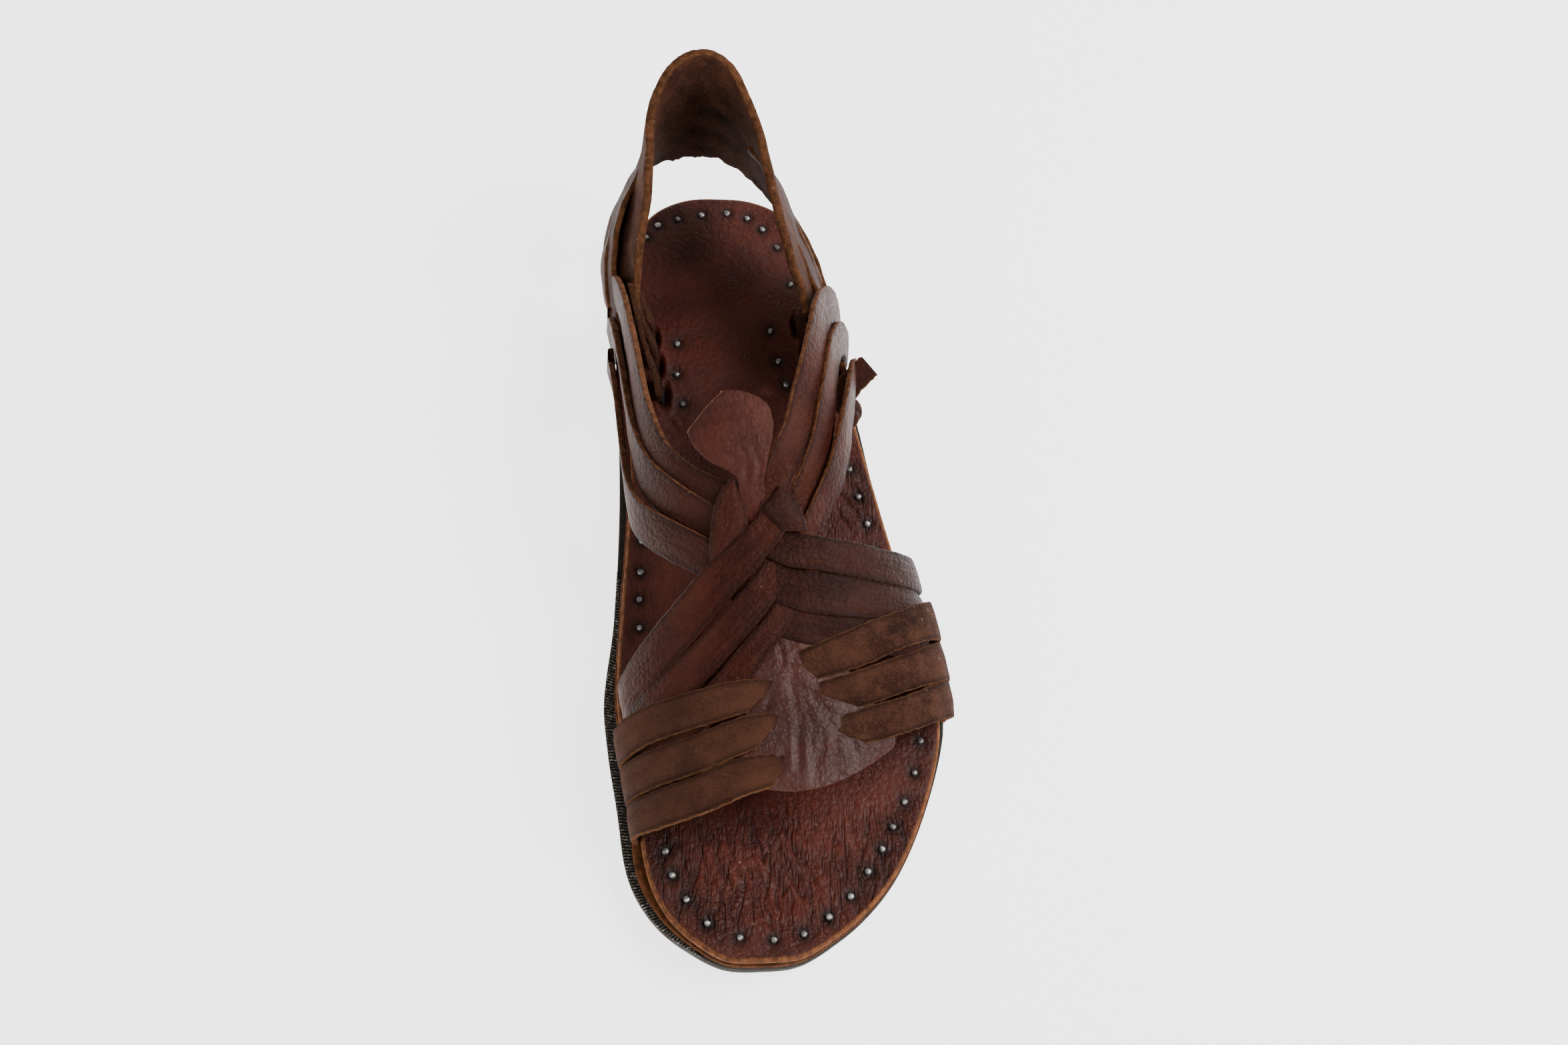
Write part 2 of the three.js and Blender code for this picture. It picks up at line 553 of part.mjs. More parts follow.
function add(name, body, colour = COLOURS[name]) {
  const mesh = new THREE.Mesh(geometryOf(body), new THREE.MeshStandardMaterial(colour));
  mesh.name = name;
  sandal.add(mesh);
}

add('outsole', outsole());
add('heel_lift', heelLift());
add('midsole', midsole());
add('footbed', footbed());
add('upper', upper());
NAILS.forEach(([x, along], i) => {
  add(`nail_${String(i + 1).padStart(2, '0')}`, nailSolid(x, along, NAIL.radius), COLOURS.nail);
});

// The origin is the middle of the bounding box, on the floor.
const box = new THREE.Box3().setFromObject(sandal);
sandal.position.set(-(box.min.x + box.max.x) / 2, -(box.min.y + box.max.y) / 2, -box.min.z);

export default sandal;
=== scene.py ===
"""A hand-woven leather huarache sandal for the left foot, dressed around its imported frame.

Tables are in the shoe's own millimetres. "along" runs from the back of the heel (0) to the
toes (280), x grows to the outer side and z up. "girth" runs round the foot from the inner
edge of the sole (-1) over the instep to its outer edge (+1), and "lift" is the clearance
from the foot's own surface. Meshes are written in metres, in the frame's own axes.
"""

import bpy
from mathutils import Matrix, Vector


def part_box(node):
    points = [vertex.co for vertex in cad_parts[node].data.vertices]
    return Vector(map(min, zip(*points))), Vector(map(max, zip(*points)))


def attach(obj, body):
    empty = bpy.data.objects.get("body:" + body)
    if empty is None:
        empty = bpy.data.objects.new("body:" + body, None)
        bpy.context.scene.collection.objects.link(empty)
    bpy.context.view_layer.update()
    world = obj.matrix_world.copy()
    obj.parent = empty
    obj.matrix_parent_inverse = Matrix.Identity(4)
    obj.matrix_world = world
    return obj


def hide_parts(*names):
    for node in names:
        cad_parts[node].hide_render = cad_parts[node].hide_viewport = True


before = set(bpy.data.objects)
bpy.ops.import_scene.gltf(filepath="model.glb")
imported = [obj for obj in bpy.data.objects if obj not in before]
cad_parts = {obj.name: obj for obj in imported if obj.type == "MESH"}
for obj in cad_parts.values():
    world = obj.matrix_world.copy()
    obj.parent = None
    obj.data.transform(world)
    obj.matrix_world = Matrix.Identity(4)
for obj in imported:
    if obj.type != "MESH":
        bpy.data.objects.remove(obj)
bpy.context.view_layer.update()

import logging
import math
from dataclasses import dataclass, field
from enum import Enum
from typing import Any, Callable, ClassVar, Sequence, Union

import bmesh
import bpy
import numpy as np
from mathutils import Matrix, Vector

log = logging.getLogger("sandal")
Rows = list[list[float]]
Triple = tuple[float, float, float]
Socket = bpy.types.NodeSocket
Sockets = bpy.types.bpy_prop_collection
Value = Union[Socket, float, Triple]
HeightAt = Callable[[np.ndarray], np.ndarray]
Built = dict[str, tuple[bpy.types.Object, str]]
Relief = tuple[np.ndarray, np.ndarray, np.ndarray, np.ndarray]

# ---- sizes of the sole and of the foot ---------------------------------------------------

LENGTH = 280.0
OUTSOLE, MIDSOLE, FOOTBED = 8.0, 4.0, 3.0
STACK = OUTSOLE + MIDSOLE + FOOTBED
HEEL_RISE, HEEL_FLAT_END, RAMP_END = 8.0, 70.0, 160.0
LIFT_FRONT = 132.0
TOE_SPRING, TOE_SPRING_START = 5.0, 205.0
LEATHER = 2.2
EDGE_CLEARANCE = 0.5
DROP = 40.0
# Steps for finding slopes: along in millimetres, girth, and rows of a table.
ALONG_STEP, GIRTH_STEP, ROW_STEP = 0.5, 0.004, 0.05
MM_IN_M = 1000

# Footbed outline: along, inner edge, outer edge.
OUTLINE = [
    [0, -3, 3], [8, -24.5, 25], [20, -31, 31.5], [40, -34.5, 35.5], [70, -34.5, 40],
    [100, -34, 46], [130, -34.5, 52.5], [165, -37, 60.3], [195, -38.6, 65.6],
    [210, -36.6, 65.6], [232, -33, 58.8], [253, -30, 48], [266, -23.5, 36.6],
    [275, -13.5, 24], [280, -2, 11],
]
# How far the tyre rubber stands out beyond the leather: along, inner side, outer side.
FLARE = [
    [0, 0, 0], [40, 2.4, 2], [90, 2.9, 2.4], [130, 2.4, 1], [165, 1.6, 2], [195, 2.4, 2.8],
    [215, 3.4, 1.2], [240, 3, 0.6], [280, 0.5, 0.5],
]
# Foot over the bed: along, rise of the ridge, its place across, fullness inside, outside.
SECTIONS = [
    [40, 62, -4, 2.7, 1.5], [70, 61, -3, 2.7, 1.5], [100, 58, -1, 2.6, 1.7],
    [130, 52, 2, 2.4, 2], [160, 45, 6, 2.15, 2.15], [190, 37, 9, 2.05, 2.05],
    [215, 30.5, 11, 2, 2], [245, 25, 11, 2, 2],
]

# ---- straps: along, girth, width, lift for each row --------------------------------------

# From the inner side of the heel over the instep and under the crossing to the outer
# toe joint. Past the crossing each one climbs over the top of the next outer strap.
INNER_STRAPS = [
    [[50, -1.16, 12, 2.4], [53, -0.98, 12, 2.4], [60, -0.88, 12, 2], [72, -0.8, 12, 1.6],
     [90, -0.74, 12, 0.8], [112, -0.675, 12.5, 0], [129.5, -0.565, 12.5, 0],
     [141.5, -0.405, 12, 0],
     [150.5, -0.21, 12, 0.2], [159, -0.08, 11, 1.2], [164.5, 0.02, 10.5, 2],
     [165.5, 0.13, 10.7, 2.3],
     [166, 0.26, 11, 1.7], [166, 0.42, 11, 1.2], [164.5, 0.6, 11.5, 1], [161.5, 0.78, 11, 0],
     [160, 0.92, 10, -4], [160, 1.06, 10, -6]],
    [[64, -1.16, 12, 2.4], [67, -0.98, 12, 2.4], [84, -0.88, 12, 1.6], [104, -0.82, 12, 0.6],
     [120, -0.75, 12, 0], [134, -0.63, 12, 0], [146, -0.46, 12, 0], [157, -0.27, 11.5, 0],
     [168, -0.13, 11, 0.3], [174.5, -0.03, 11.5, 1.1], [176.8, 0.06, 12.5, 1.7],
     [177.5, 0.16, 13, 1.7],
     [177.5, 0.26, 13, 1.1], [177, 0.4, 12.5, 0.7], [175.5, 0.6, 12, 0.4], [174.5, 0.8, 10, -1],
     [174, 0.92, 10, -4], [174, 1.06, 10, -6]],
    [[80, -1.16, 12, 2.4], [84, -0.98, 12, 2.4], [100, -0.92, 12, 1.4], [118, -0.88, 12, 0.4],
     [134, -0.8, 12, 0], [147, -0.66, 12, 0], [158, -0.46, 12, 0], [167, -0.28, 11, 0],
     [177, -0.14, 10, 0], [184.5, -0.04, 10, 0.6], [187, 0.06, 11, 0.9], [187.5, 0.18, 11.5, 0.6],
     [187.5, 0.34, 11.5, 0.3], [187.5, 0.6, 11, 0], [187, 0.8, 10, -2], [187, 0.92, 10, -4],
     [187, 1.06, 10, -6]],
]
# From the outer side of the heel, under the keeper and the inner straps' tips, to the
# inner toe joint.
OUTER_STRAPS = [
    [[58, 1.16, 13, 1], [58, 0.95, 13, 1], [60, 0.8, 13, 1], [65, 0.62, 13, 1.2],
     [75, 0.46, 12, 1.4], [88, 0.35, 11.4, 1.6], [103, 0.25, 10.6, 2], [117, 0.167, 10, 2.3],
     [128, 0.108, 9.6, 2.7], [137, 0.04, 9.4, 3.2], [146, -0.015, 9, 3.7], [156, -0.03, 9.4, 3.9],
     [165, -0.128, 10.2, 3.5], [173.3, -0.243, 11.6, 2.8], [184, -0.385, 12.2, 2.3],
     [194, -0.56, 12.6, 1.2], [201, -0.76, 12.6, -1], [203, -0.9, 11, -4],
     [203, -1.06, 10.5, -6]],
    [[71, 1.16, 11, 1], [71, 0.95, 11, 1], [73, 0.8, 11, 1], [79, 0.62, 11, 1],
     [91, 0.46, 10.5, 1.2], [105, 0.355, 9.6, 1.4], [118, 0.28, 9.4, 1.8], [130, 0.22, 9, 2.1],
     [141, 0.15, 8.6, 2], [153, 0.07, 8, 0.3], [163, 0.02, 8, -0.3], [171.5, -0.04, 8.4, 0.9],
     [181.5, -0.137, 9.8, 2.4], [193, -0.282, 10.2, 2.2], [201.5, -0.43, 11, 1.4],
     [209, -0.6, 12, 0.4],
     [214, -0.76, 12, -1.4], [216, -0.9, 11, -4], [216, -1.06, 10.5, -6]],
    [[84, 1.16, 11, 1], [84, 0.95, 11, 1], [86, 0.82, 11, 1], [92, 0.67, 11, 0.8],
     [104, 0.53, 10.5, 1], [118, 0.41, 9.6, 1.4], [130, 0.33, 9.2, 1.8], [141, 0.255, 8.6, 1.8],
     [151, 0.18, 8, 0.6], [161, 0.1, 7.6, -0.3], [172, 0.03, 7, -0.3], [179, 0, 7, 0.2],
     [185.5, -0.037, 7.2, 1.7], [195, -0.137, 8.2, 2.1], [207, -0.285, 9.2, 1.6],
     [217, -0.5, 11, 0.6],
     [224, -0.7, 12, -1.4], [229, -0.88, 11, -4], [229, -1.06, 10.5, -6]],
]
# The same six straps come back over the edges of the sole with the flesh side out.
OUTER_RETURNS = [
    [[172, 1.15, 12.5, 0], [173, 1, 12.5, 0], [175, 0.86, 13.2, 1.4], [180, 0.64, 12.1, 3],
     [187, 0.4, 11.4, 3.4], [193.2, 0.23, 11.8, 2.6], [199.6, 0.02, 9.6, 0.4]],
    [[185, 1.15, 12.5, 0], [186, 1, 12.5, 0], [188, 0.86, 13, 1.2], [192, 0.68, 12, 2.2],
     [199, 0.43, 11, 2.6], [204.5, 0.25, 11, 2.2], [209.4, 0.045, 9.8, 0.4]],
    [[197, 1.15, 11.5, 0], [198, 1, 11.5, 0], [200, 0.86, 11.5, 1], [204, 0.67, 11, 1.8],
     [210, 0.47, 10.6, 2.2], [214.5, 0.31, 10.8, 2], [219.6, 0.115, 9.4, 0.4]],
]
INNER_RETURNS = [
    [[214, -1.15, 11.6, -1.4], [214, -1, 11.6, -1.3], [214, -0.84, 11.6, 1.2],
    [212, -0.62, 11.6, 3],
     [210, -0.38, 11.4, 3.6], [207.5, -0.2, 10.5, 3], [207, -0.075, 8.8, 0.8]],
    [[226, -1.15, 11.4, -1.4], [226, -1, 11.4, -1.3], [226, -0.84, 11.4, 1],
    [225, -0.62, 11.6, 2.2],
     [223, -0.38, 11.4, 3], [218.5, -0.18, 10.8, 2.8], [216.5, -0.045, 9.2, 0.8]],
    [[237, -1.15, 10.6, -1.2], [237, -1, 10.6, -1.1], [237, -0.84, 10.8, 0.8],
    [237, -0.62, 11.4, 1.6],
     [235, -0.38, 11.6, 2.2], [231, -0.2, 11.2, 2.4], [228.5, -0.02, 9.6, 0.8]],
]
# Strips that tie the heel band down into the footbed on each side.
HEEL_TIES = [
    [[50, -0.86, 10, -1.5], [57, -0.92, 9.5, -6], [62, -0.98, 8, -10.5], [62.5, -1.04, 7.4, -11]],
    [[55, -0.86, 10, -1.5], [66, -0.92, 9.5, -6.5], [73, -0.98, 8, -11.5],
    [73.5, -1.04, 7.4, -12]],
    [[60, -0.84, 10, -1], [75, -0.9, 9.5, -6], [85, -0.98, 8, -12], [85.5, -1.04, 7.4, -12.5]],
    [[50, 0.66, 10, -4], [55, 0.79, 9, -9], [58, 0.9, 8, -12], [58.2, 1.05, 7.4, -12.6]],
    [[59, 0.64, 10, -3.5], [66, 0.78, 9, -9], [70, 0.89, 8, -12], [70.2, 1.05, 7.4, -12.6]],
    [[67, 0.6, 10, -3], [77, 0.77, 9, -9], [82, 0.88, 8, -12.2], [82.2, 1.05, 7.4, -12.8]],
]

# Wide pieces: along and girth of the left edge, of the right edge, lift, and how far the
# middle bows towards the toes.
TONGUE_TAB = [
    [117.8, -0.196, 117.9, -0.165, 4.5, 0], [118.6, -0.208, 118.1, -0.128, 4.5, 0],
    [120.4, -0.238, 119.3, -0.08, 4.5, 0], [122.5, -0.271, 120.8, -0.045, 4.5, 0],
    [125.2, -0.305, 122.6, -0.022, 4.5, 0], [127.5, -0.336, 124.8, -0.014, 4.5, 0],
    [128.2, -0.342, 126.5, -0.012, 4.5, 0], [129.4, -0.34, 128.5, -0.013, 4.5, 0],
    [133.9, -0.312, 133, -0.023, 4.6, 0], [138.6, -0.247, 138.6, -0.044, 4.6, 0],
    [141.3, -0.185, 141.8, -0.056, 4.6, 0], [144, -0.155, 144, -0.062, 4.6, 0],
    [148, -0.15, 148, -0.062, 4.4, 0], [153.5, -0.128, 152.5, -0.058, 3.6, 0],
    [159, -0.11, 158.5, -0.06, 1.2, 0], [168, -0.08, 168, -0.04, -0.8, 0],
    [179, -0.07, 179, 0.02, -1, 0],
]
TOE_FAN = [
    [176, -0.04, 177, 0.03, -1, 0], [183, -0.05, 184, 0.06, -0.6, 0],
    [190, -0.08, 191, 0.1, 0.2, 0], [199, -0.14, 199, 0.2, 0.7, 0],
    [207, -0.19, 207, 0.28, 0.9, 0], [215, -0.2, 213, 0.35, 1.1, 0.5],
    [223, -0.2, 217.5, 0.395, 1.2, 2], [229.5, -0.17, 220, 0.405, 1.1, 4],
    [234, -0.125, 221.5, 0.4, 0.8, 6],
]
LEAF = [
    [143.6, -0.18, 144.2, -0.168, 3.8, 0], [146.5, -0.215, 147.5, -0.155, 3.9, 0],
    [151.5, -0.245, 152.5, -0.135, 3.9, 0], [156, -0.258, 158, -0.135, 3.6, 0],
    [161, -0.268, 163.5, -0.185, 3.1, 0], [167, -0.274, 168.8, -0.26, 2.4, 0],
]
KEEPER = [
    [146.4, -0.008, 146.8, 0.006, 4.9, 0], [149.4, -0.032, 148.6, 0.03, 5.4, 0],
    [153, -0.06, 152, 0.062, 5.7, 0], [156.5, -0.032, 156, 0.078, 5.6, 0],
    [159.8, -0.004, 159.6, 0.088, 4.6, 0],
]

# Heel band and the strips on its outside: lower edge and upper edge, each as x, along, z.
HEEL_BAND = [
    [-36, 56, 34, -30, 68, 44], [-36.5, 42, 39, -28.5, 52, 58], [-35, 27, 42.5, -26, 37, 66],
    [-30.5, 14, 45, -25, 23, 73], [-24, 6, 46, -25, 13, 81], [-16, 2, 45.5, -20, 4.5, 91],
    [-9, 0.5, 45, -12, 0, 95], [-2, 2, 45.5, -3.5, 1.5, 94], [6, 8, 46, 2.5, 7, 88],
    [13.5, 17, 46, 8, 19, 80], [22, 30, 44, 12.5, 38, 72], [28.5, 46, 40, 18, 58, 64],
    [32, 60, 35, 24, 74, 54],
]
BAND_WALL = 3.2

# Strips braided on the band's outside, from the band down to the sole: lower edge and
# upper edge, each as x, along, z.
HEEL_STRIPS = [
    [[-35.4, 72, 16.4, -35.4, 82, 16.4], [-36.6, 68, 24, -36.2, 76, 30],
     [-38.2, 60, 32, -35.8, 66, 40], [-39.8, 48, 38, -37.5, 52, 48],
     [-38.6, 34, 45, -35.5, 37, 56], [-33.2, 20, 51, -29.5, 23, 60],
     [-27, 12.3, 56, -26.3, 14.5, 64]],
    [[-35.4, 60, 16.4, -35.4, 70, 16.4], [-37.4, 57, 24, -37, 65, 29],
     [-40.2, 51, 29, -39.6, 56, 38], [-41.2, 40, 36, -39.5, 43, 46],
     [-36.5, 26, 46, -34.2, 28, 53.5], [-28.8, 13.9, 51, -27.8, 15.9, 58]],
    [[-35.4, 45, 16.4, -35.4, 55, 16.4], [-38.2, 44, 23, -38, 52, 28],
     [-40.6, 38, 31, -40.2, 42, 38.5], [-38.6, 27, 41, -37, 29, 47.5],
     [-30.2, 13.6, 47.5, -29.2, 15.6, 54]],
    [[9, 12.5, 57, 6.5, 13.5, 66], [17, 20, 55, 11.5, 23, 67], [23.5, 33, 49, 17, 37, 61],
     [30, 46, 43, 23.5, 51, 55], [35, 58, 35, 30.5, 65, 47], [38.2, 66, 28, 36.6, 75, 37.5],
     [40.2, 72, 22, 40.6, 82, 26], [41, 74, 16.4, 42.3, 84, 16.4]],
    [[13.6, 16.6, 49, 12, 18, 57], [23, 28, 44, 18.5, 30, 55], [29.5, 40, 38, 26, 43, 50],
     [34.5, 51, 31, 32, 56, 42], [37.6, 58, 25, 37, 66, 31], [38.8, 60, 16.4, 39.9, 70, 16.4]],
    [[17.4, 22.6, 47, 16.5, 24, 54], [28.5, 35, 39.5, 26.8, 37, 47],
     [34, 44, 31.5, 33, 48, 38.5], [36.4, 49, 25, 36.8, 56, 30],
     [37.2, 50, 16.4, 38.4, 59, 16.4]],
]
# Flat end of the tied thong, which stands out from the knot.
THONG_TAB = [
    [38.5, 103.5, 41, 33, 98, 43.4], [42.2, 99.8, 43.6, 36.4, 94, 46],
    [45.8, 96.4, 45.7, 40, 90.6, 48], [49.2, 93.4, 47.1, 43.6, 87.6, 49.6],
]

# Nails through the footbed: x, along.
NAILS = [
    [-26.9, 19.5], [-22.5, 14], [-15.2, 11], [-6.4, 9], [3, 8], [10.5, 10], [16, 15], [21, 23],
    [25, 39.5], [-16.5, 66], [-17, 78.5], [-15, 90], [16.8, 60], [19, 72.7], [21.3, 82],
    [42, 114], [44.5, 124], [47, 134], [49, 144], [-29.5, 140], [-30, 151], [-30.5, 161],
    [-30.5, 171], [58.5, 211], [55.5, 221.5], [51.5, 231], [47, 239], [43, 246], [38, 253],
    [32, 260.5], [25, 266.5], [17, 271.5], [8, 273], [-2, 272], [-11.5, 267.5], [-17.5, 260],
    [-21.5, 252.5], [-23.5, 245],
]

# Slots in the footbed: x, along, half length, half width, depth.
SLOTS = [
    [-24.5, 64.5, 4.2, 1.7, 2.4], [-23.4, 75.5, 4.6, 1.9, 2.6], [-21.4, 87, 4.6, 1.9, 2.6],
    [26.3, 57.5, 4.4, 1.8, 2.2], [28.6, 70, 4, 1.5, 2], [30.6, 82, 4, 1.5, 2],
]

# Creases: three points as along, x, then half width and depth.
TOE_CREASES = [
    [242, -14.7, 255.3, -10, 264, -7, 1.1, 0.42], [239.8, -10.5, 258, -4.1, 264, -1.6, 1, 0.4],
    [239.8, -6.1, 251.8, -1.8, 264, 4.4, 1.1, 0.45], [245.5, -0.8, 255.3, 2.1, 264, 7.7, 1, 0.4],
    [246.2, 5.3, 255.3, 9.5, 264, 13.7, 1.1, 0.45], [242, 8.9, 255.3, 15.6, 261, 18.6, 1, 0.42],
    [238.4, 13.3, 251.8, 19.2, 259.4, 22.8, 1.1, 0.4],
    [244.8, 17.7, 252.5, 23.3, 257, 26.3, 1, 0.36],
    [236.3, 25.8, 244.1, 28.7, 248.3, 31.7, 1, 0.34],
    [234.1, 32.9, 241.2, 34.4, 246, 34.7, 0.9, 0.3],
    [232, 40, 237, 41.6, 241.2, 44, 1, 0.3], [260.8, 1.2, 266.9, 4.9, 270.2, 11.3, 0.9, 0.3],
    [246.9, -19.3, 255.3, -16.1, 260.8, -13.6, 1, 0.34],
    [111.7, 38.2, 120.9, 42.3, 128.2, 46.5, 1, 0.3],
    [120.9, 36.6, 128.2, 41.9, 135.5, 46.1, 1, 0.32],
    [127, 34.5, 131.9, 38.3, 136.8, 41.5, 0.9, 0.28],
    [117.2, 42.5, 122.8, 44.5, 128.9, 47.7, 0.9, 0.25],
    [156.9, -16.7, 163, -20.8, 168.4, -25.4, 0.9, 0.25],
    [156.3, -20.7, 162.4, -24.8, 167.3, -29.4, 0.9, 0.28],
    [156.3, -24.7, 161.3, -27.8, 165, -30, 0.8, 0.22],
    [15.4, 6.8, 30.7, 12.4, 42, 15.6, 1.1, 0.14],
    [15.4, 13.1, 29.2, 18.1, 34.5, 20.3, 1, 0.14], [92, -24, 98, -19, 103, -15, 0.9, 0.24],
    [90, -20, 97, -15, 103, -10, 0.9, 0.22],
]
FAN_CREASES = [
    [192, 10, 197, 11, 200, 10.9, 0.9, 0.9], [197.5, 12.9, 206, 13.9, 215, 15.6, 1.3, 0.55],
    [214, 15.7, 221.5, 14.8, 229, 14.8, 1.2, 0.7], [200, 14.7, 209, 17.3, 217.5, 19.1, 1.2, 0.4],
    [218.5, 18.2, 226, 19.2, 235, 19.9, 1.2, 0.5], [219, 22.4, 224, 21.4, 227.5, 20.5, 1, 0.4],
    [219, 25.5, 225, 25.7, 232, 26.3, 1.1, 0.45], [215.5, 27.4, 221.5, 31.1, 228, 31.7, 1.1, 0.4],
    [223, 11.2, 228.5, 9.6, 233, 8.5, 1.1, 0.45], [219, 33, 221, 36.5, 224, 36.9, 1, 0.35],
    [213, 22.5, 217.5, 26.4, 219, 28.5, 1, 0.35], [205, 18, 211, 22, 214, 27, 1.2, 0.4],
    [207, 8, 211, 6, 214, 3, 1.2, 0.45],
]
TAB_CREASES = [
    [126.5, -12.3, 125.5, -5.2, 123, 3.3, 1.2, 0.3],
    [123, -9.4, 122, -4.1, 120.5, 1.1, 1.1, 0.25],
    [129.5, 2.1, 134.5, 3.1, 139.5, 2.4, 1, 0.35], [134.5, 0, 140.5, 1.3, 145.5, 0.9, 0.9, 0.4],
    [135.5, 3.9, 140.5, 4.9, 146.5, 4.5, 0.9, 0.3], [134, -8, 137, -3.3, 140, -0.8, 1.1, 0.35],
    [123, -12.4, 126, -8.3, 128, -6.3, 1, 0.3],
]


# ---- curves and the foot -----------------------------------------------------------------


class Curve:
    """A smooth cubic through a table of values.

    On each span the end values and slopes are blended with the four Hermite weights. A
    slope is the rise between a row's two neighbours over the distance between them.
    """

    def __init__(self, places: np.ndarray, values: np.ndarray) -> None:
        """Finds the slope at each row.

        Args: places, rising positions; values, the value at each position.
        """
        self.places, self.values = np.asarray(places, float), np.asarray(values, float)
        row = np.arange(len(self.places))
        low, high = np.maximum(row - 1, 0), np.minimum(row + 1, row[-1])
        rise, run = (each[high] - each[low] for each in (self.values, self.places))
        self.slopes = rise / run

    def __call__(self, at: np.ndarray) -> np.ndarray:
        """Reads the curve, which runs on past its ends for about half a span.

        Args: at, positions.
        Returns: the curve's value at each position.
        """
        at = np.asarray(at, float)
        row = np.clip(np.searchsorted(self.places, at) - 1, 0, len(self.places) - 2)
        span = self.places[row + 1] - self.places[row]
        t = np.clip((at - self.places[row]) / span, -0.6, 1.6)
        rise = t * t * (3 - 2 * t)
        start = t * (t - 1) ** 2 * span * self.slopes[row]
        end = t * t * (t - 1) * span * self.slopes[row + 1]
        return self.values[row] * (1 - rise) + self.values[row + 1] * rise + start + end


def soft(t: np.ndarray) -> np.ndarray:
    """Returns the smooth step 3t^2 - 2t^3, with t held between 0 and 1."""
    t = np.clip(t, 0, 1)
    return t * t * (3 - 2 * t)


def unit(v: np.ndarray) -> np.ndarray:
    """Returns the vectors scaled to length one."""
    return v / (np.linalg.norm(v, axis=-1, keepdims=True) + 1e-12)


def waves(points: np.ndarray, size: float, seed: int, count: int = 9) -> np.ndarray:
    """Smooth unevenness: the mean of several sines along random directions.

    Args: points, (..., n) positions in millimetres; size, the usual length of one swell;
        seed, the draw of directions, lengths and phases; count, how many sines are
        summed.
    Returns: values of about -1 to 1, one for each position.
    """
    rng = np.random.default_rng(seed)
    way = unit(rng.normal(size=(count, points.shape[-1])))
    pace = 2 * np.pi / size * rng.uniform(0.6, 1.7, count)
    phase = rng.uniform(0, 2 * np.pi, count)
    return np.sin(points @ (way * pace[:, None]).T + phase).mean(-1) * 1.9


def run_of(line: np.ndarray) -> np.ndarray:
    """Returns the length run up to each point of a line of points."""
    return np.concatenate([[0], np.cumsum(np.linalg.norm(np.diff(line, axis=0), axis=1))])


def bell(distance: np.ndarray, reach: float) -> np.ndarray:
    """Returns the bell exp(-(distance / reach)^2)."""
    return np.exp(-((distance / reach) ** 2))


class Foot:
    """The foot that the straps lie on: a superellipse over each cross-section of the bed."""

    def __init__(self) -> None:
        """Fits the curves to the tables of the outline, the flare and the sections."""
        outline, flare, sections = (np.array(t, float) for t in (OUTLINE, FLARE, SECTIONS))
        turns = self.turn(outline[:, 0])
        self._inner, self._outer = Curve(turns, outline[:, 1]), Curve(turns, outline[:, 2])
        self.inner_flare = Curve(flare[:, 0], flare[:, 1])
        self.outer_flare = Curve(flare[:, 0], flare[:, 2])
        self.shape = [Curve(sections[:, 0], sections[:, n]) for n in range(1, 5)]

    @staticmethod
    def turn(along: np.ndarray) -> np.ndarray:
        """Returns the angle whose cosine falls evenly from heel to toe."""
        return np.arccos(1 - 2 * np.clip(along, 0, LENGTH) / LENGTH)

    def inner(self, along: np.ndarray) -> np.ndarray:
        """Returns x of the footbed's inner edge."""
        return self._inner(self.turn(along))

    def outer(self, along: np.ndarray) -> np.ndarray:
        """Returns x of the footbed's outer edge."""
        return self._outer(self.turn(along))

    @staticmethod
    def bed(along: np.ndarray) -> np.ndarray:
        """Height of the footbed: heel flat, ramp, forefoot flat, toe spring.

        Args: along, places from heel to toe.
        Returns: the height at each place.
        """
        ramp = 1 - soft((along - HEEL_FLAT_END) / (RAMP_END - HEEL_FLAT_END))
        spring = np.maximum(0, (along - TOE_SPRING_START) / (LENGTH - TOE_SPRING_START))
        return STACK + HEEL_RISE * ramp + TOE_SPRING * spring * spring

    def surface(self, along: np.ndarray, girth: np.ndarray) -> np.ndarray:
        """Point of the foot.

        x swings from edge to edge with the sine of girth times a quarter turn, and the
        height over the bed is rise times (1 - |v|^n)^(1/n), v being the distance from
        the ridge as a share of the distance from ridge to edge.

        Args: along, places along; girth, places round the foot, past -1 and 1 down the
            sole's side.
        Returns: (..., 3) positions as x, minus along, z.
        """
        left, right = self.inner(along) - EDGE_CLEARANCE, self.outer(along) + EDGE_CLEARANCE
        x = (left + right) / 2 + (right - left) / 2 * np.sin(np.clip(girth, -1, 1) * np.pi / 2)
        rise, ridge, full_in, full_out = (curve(along) for curve in self.shape)
        v = np.where(x < ridge, (x - ridge) / (left - ridge), (x - ridge) / (right - ridge))
        n = np.where(x < ridge, full_in, full_out)
        height = rise * np.maximum(0, 1 - np.abs(v) ** n) ** (1 / n)
        drop = np.maximum(0, np.abs(girth) - 1) * DROP
        return np.stack([x, -along + 0 * x, self.bed(along) + height - drop], -1)

    def tangents(self, along: np.ndarray, girth: np.ndarray) -> tuple[np.ndarray, ...]:
        """Finds the surface's slopes from its points a small step before and after.

        Args: along, places along; girth, places round the foot.
        Returns: the surface's change by along and by girth, and its outward normal.
        """
        by_along = self.surface(along + ALONG_STEP, girth) - self.surface(along - ALONG_STEP, girth)
        by_girth = self.surface(along, girth + GIRTH_STEP) - self.surface(along, girth - GIRTH_STEP)
        by_along, by_girth = by_along / (2 * ALONG_STEP), by_girth / (2 * GIRTH_STEP)
        return by_along, by_girth, unit(np.cross(by_along, by_girth))

    def above(self, along: np.ndarray, girth: np.ndarray, lift: np.ndarray) -> np.ndarray:
        """Returns the point at that lift over the foot's surface."""
        return self.surface(along, girth) + self.tangents(along, girth)[2] * lift[..., None]


FOOT = Foot()
_nail_low, _nail_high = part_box("nail_01")
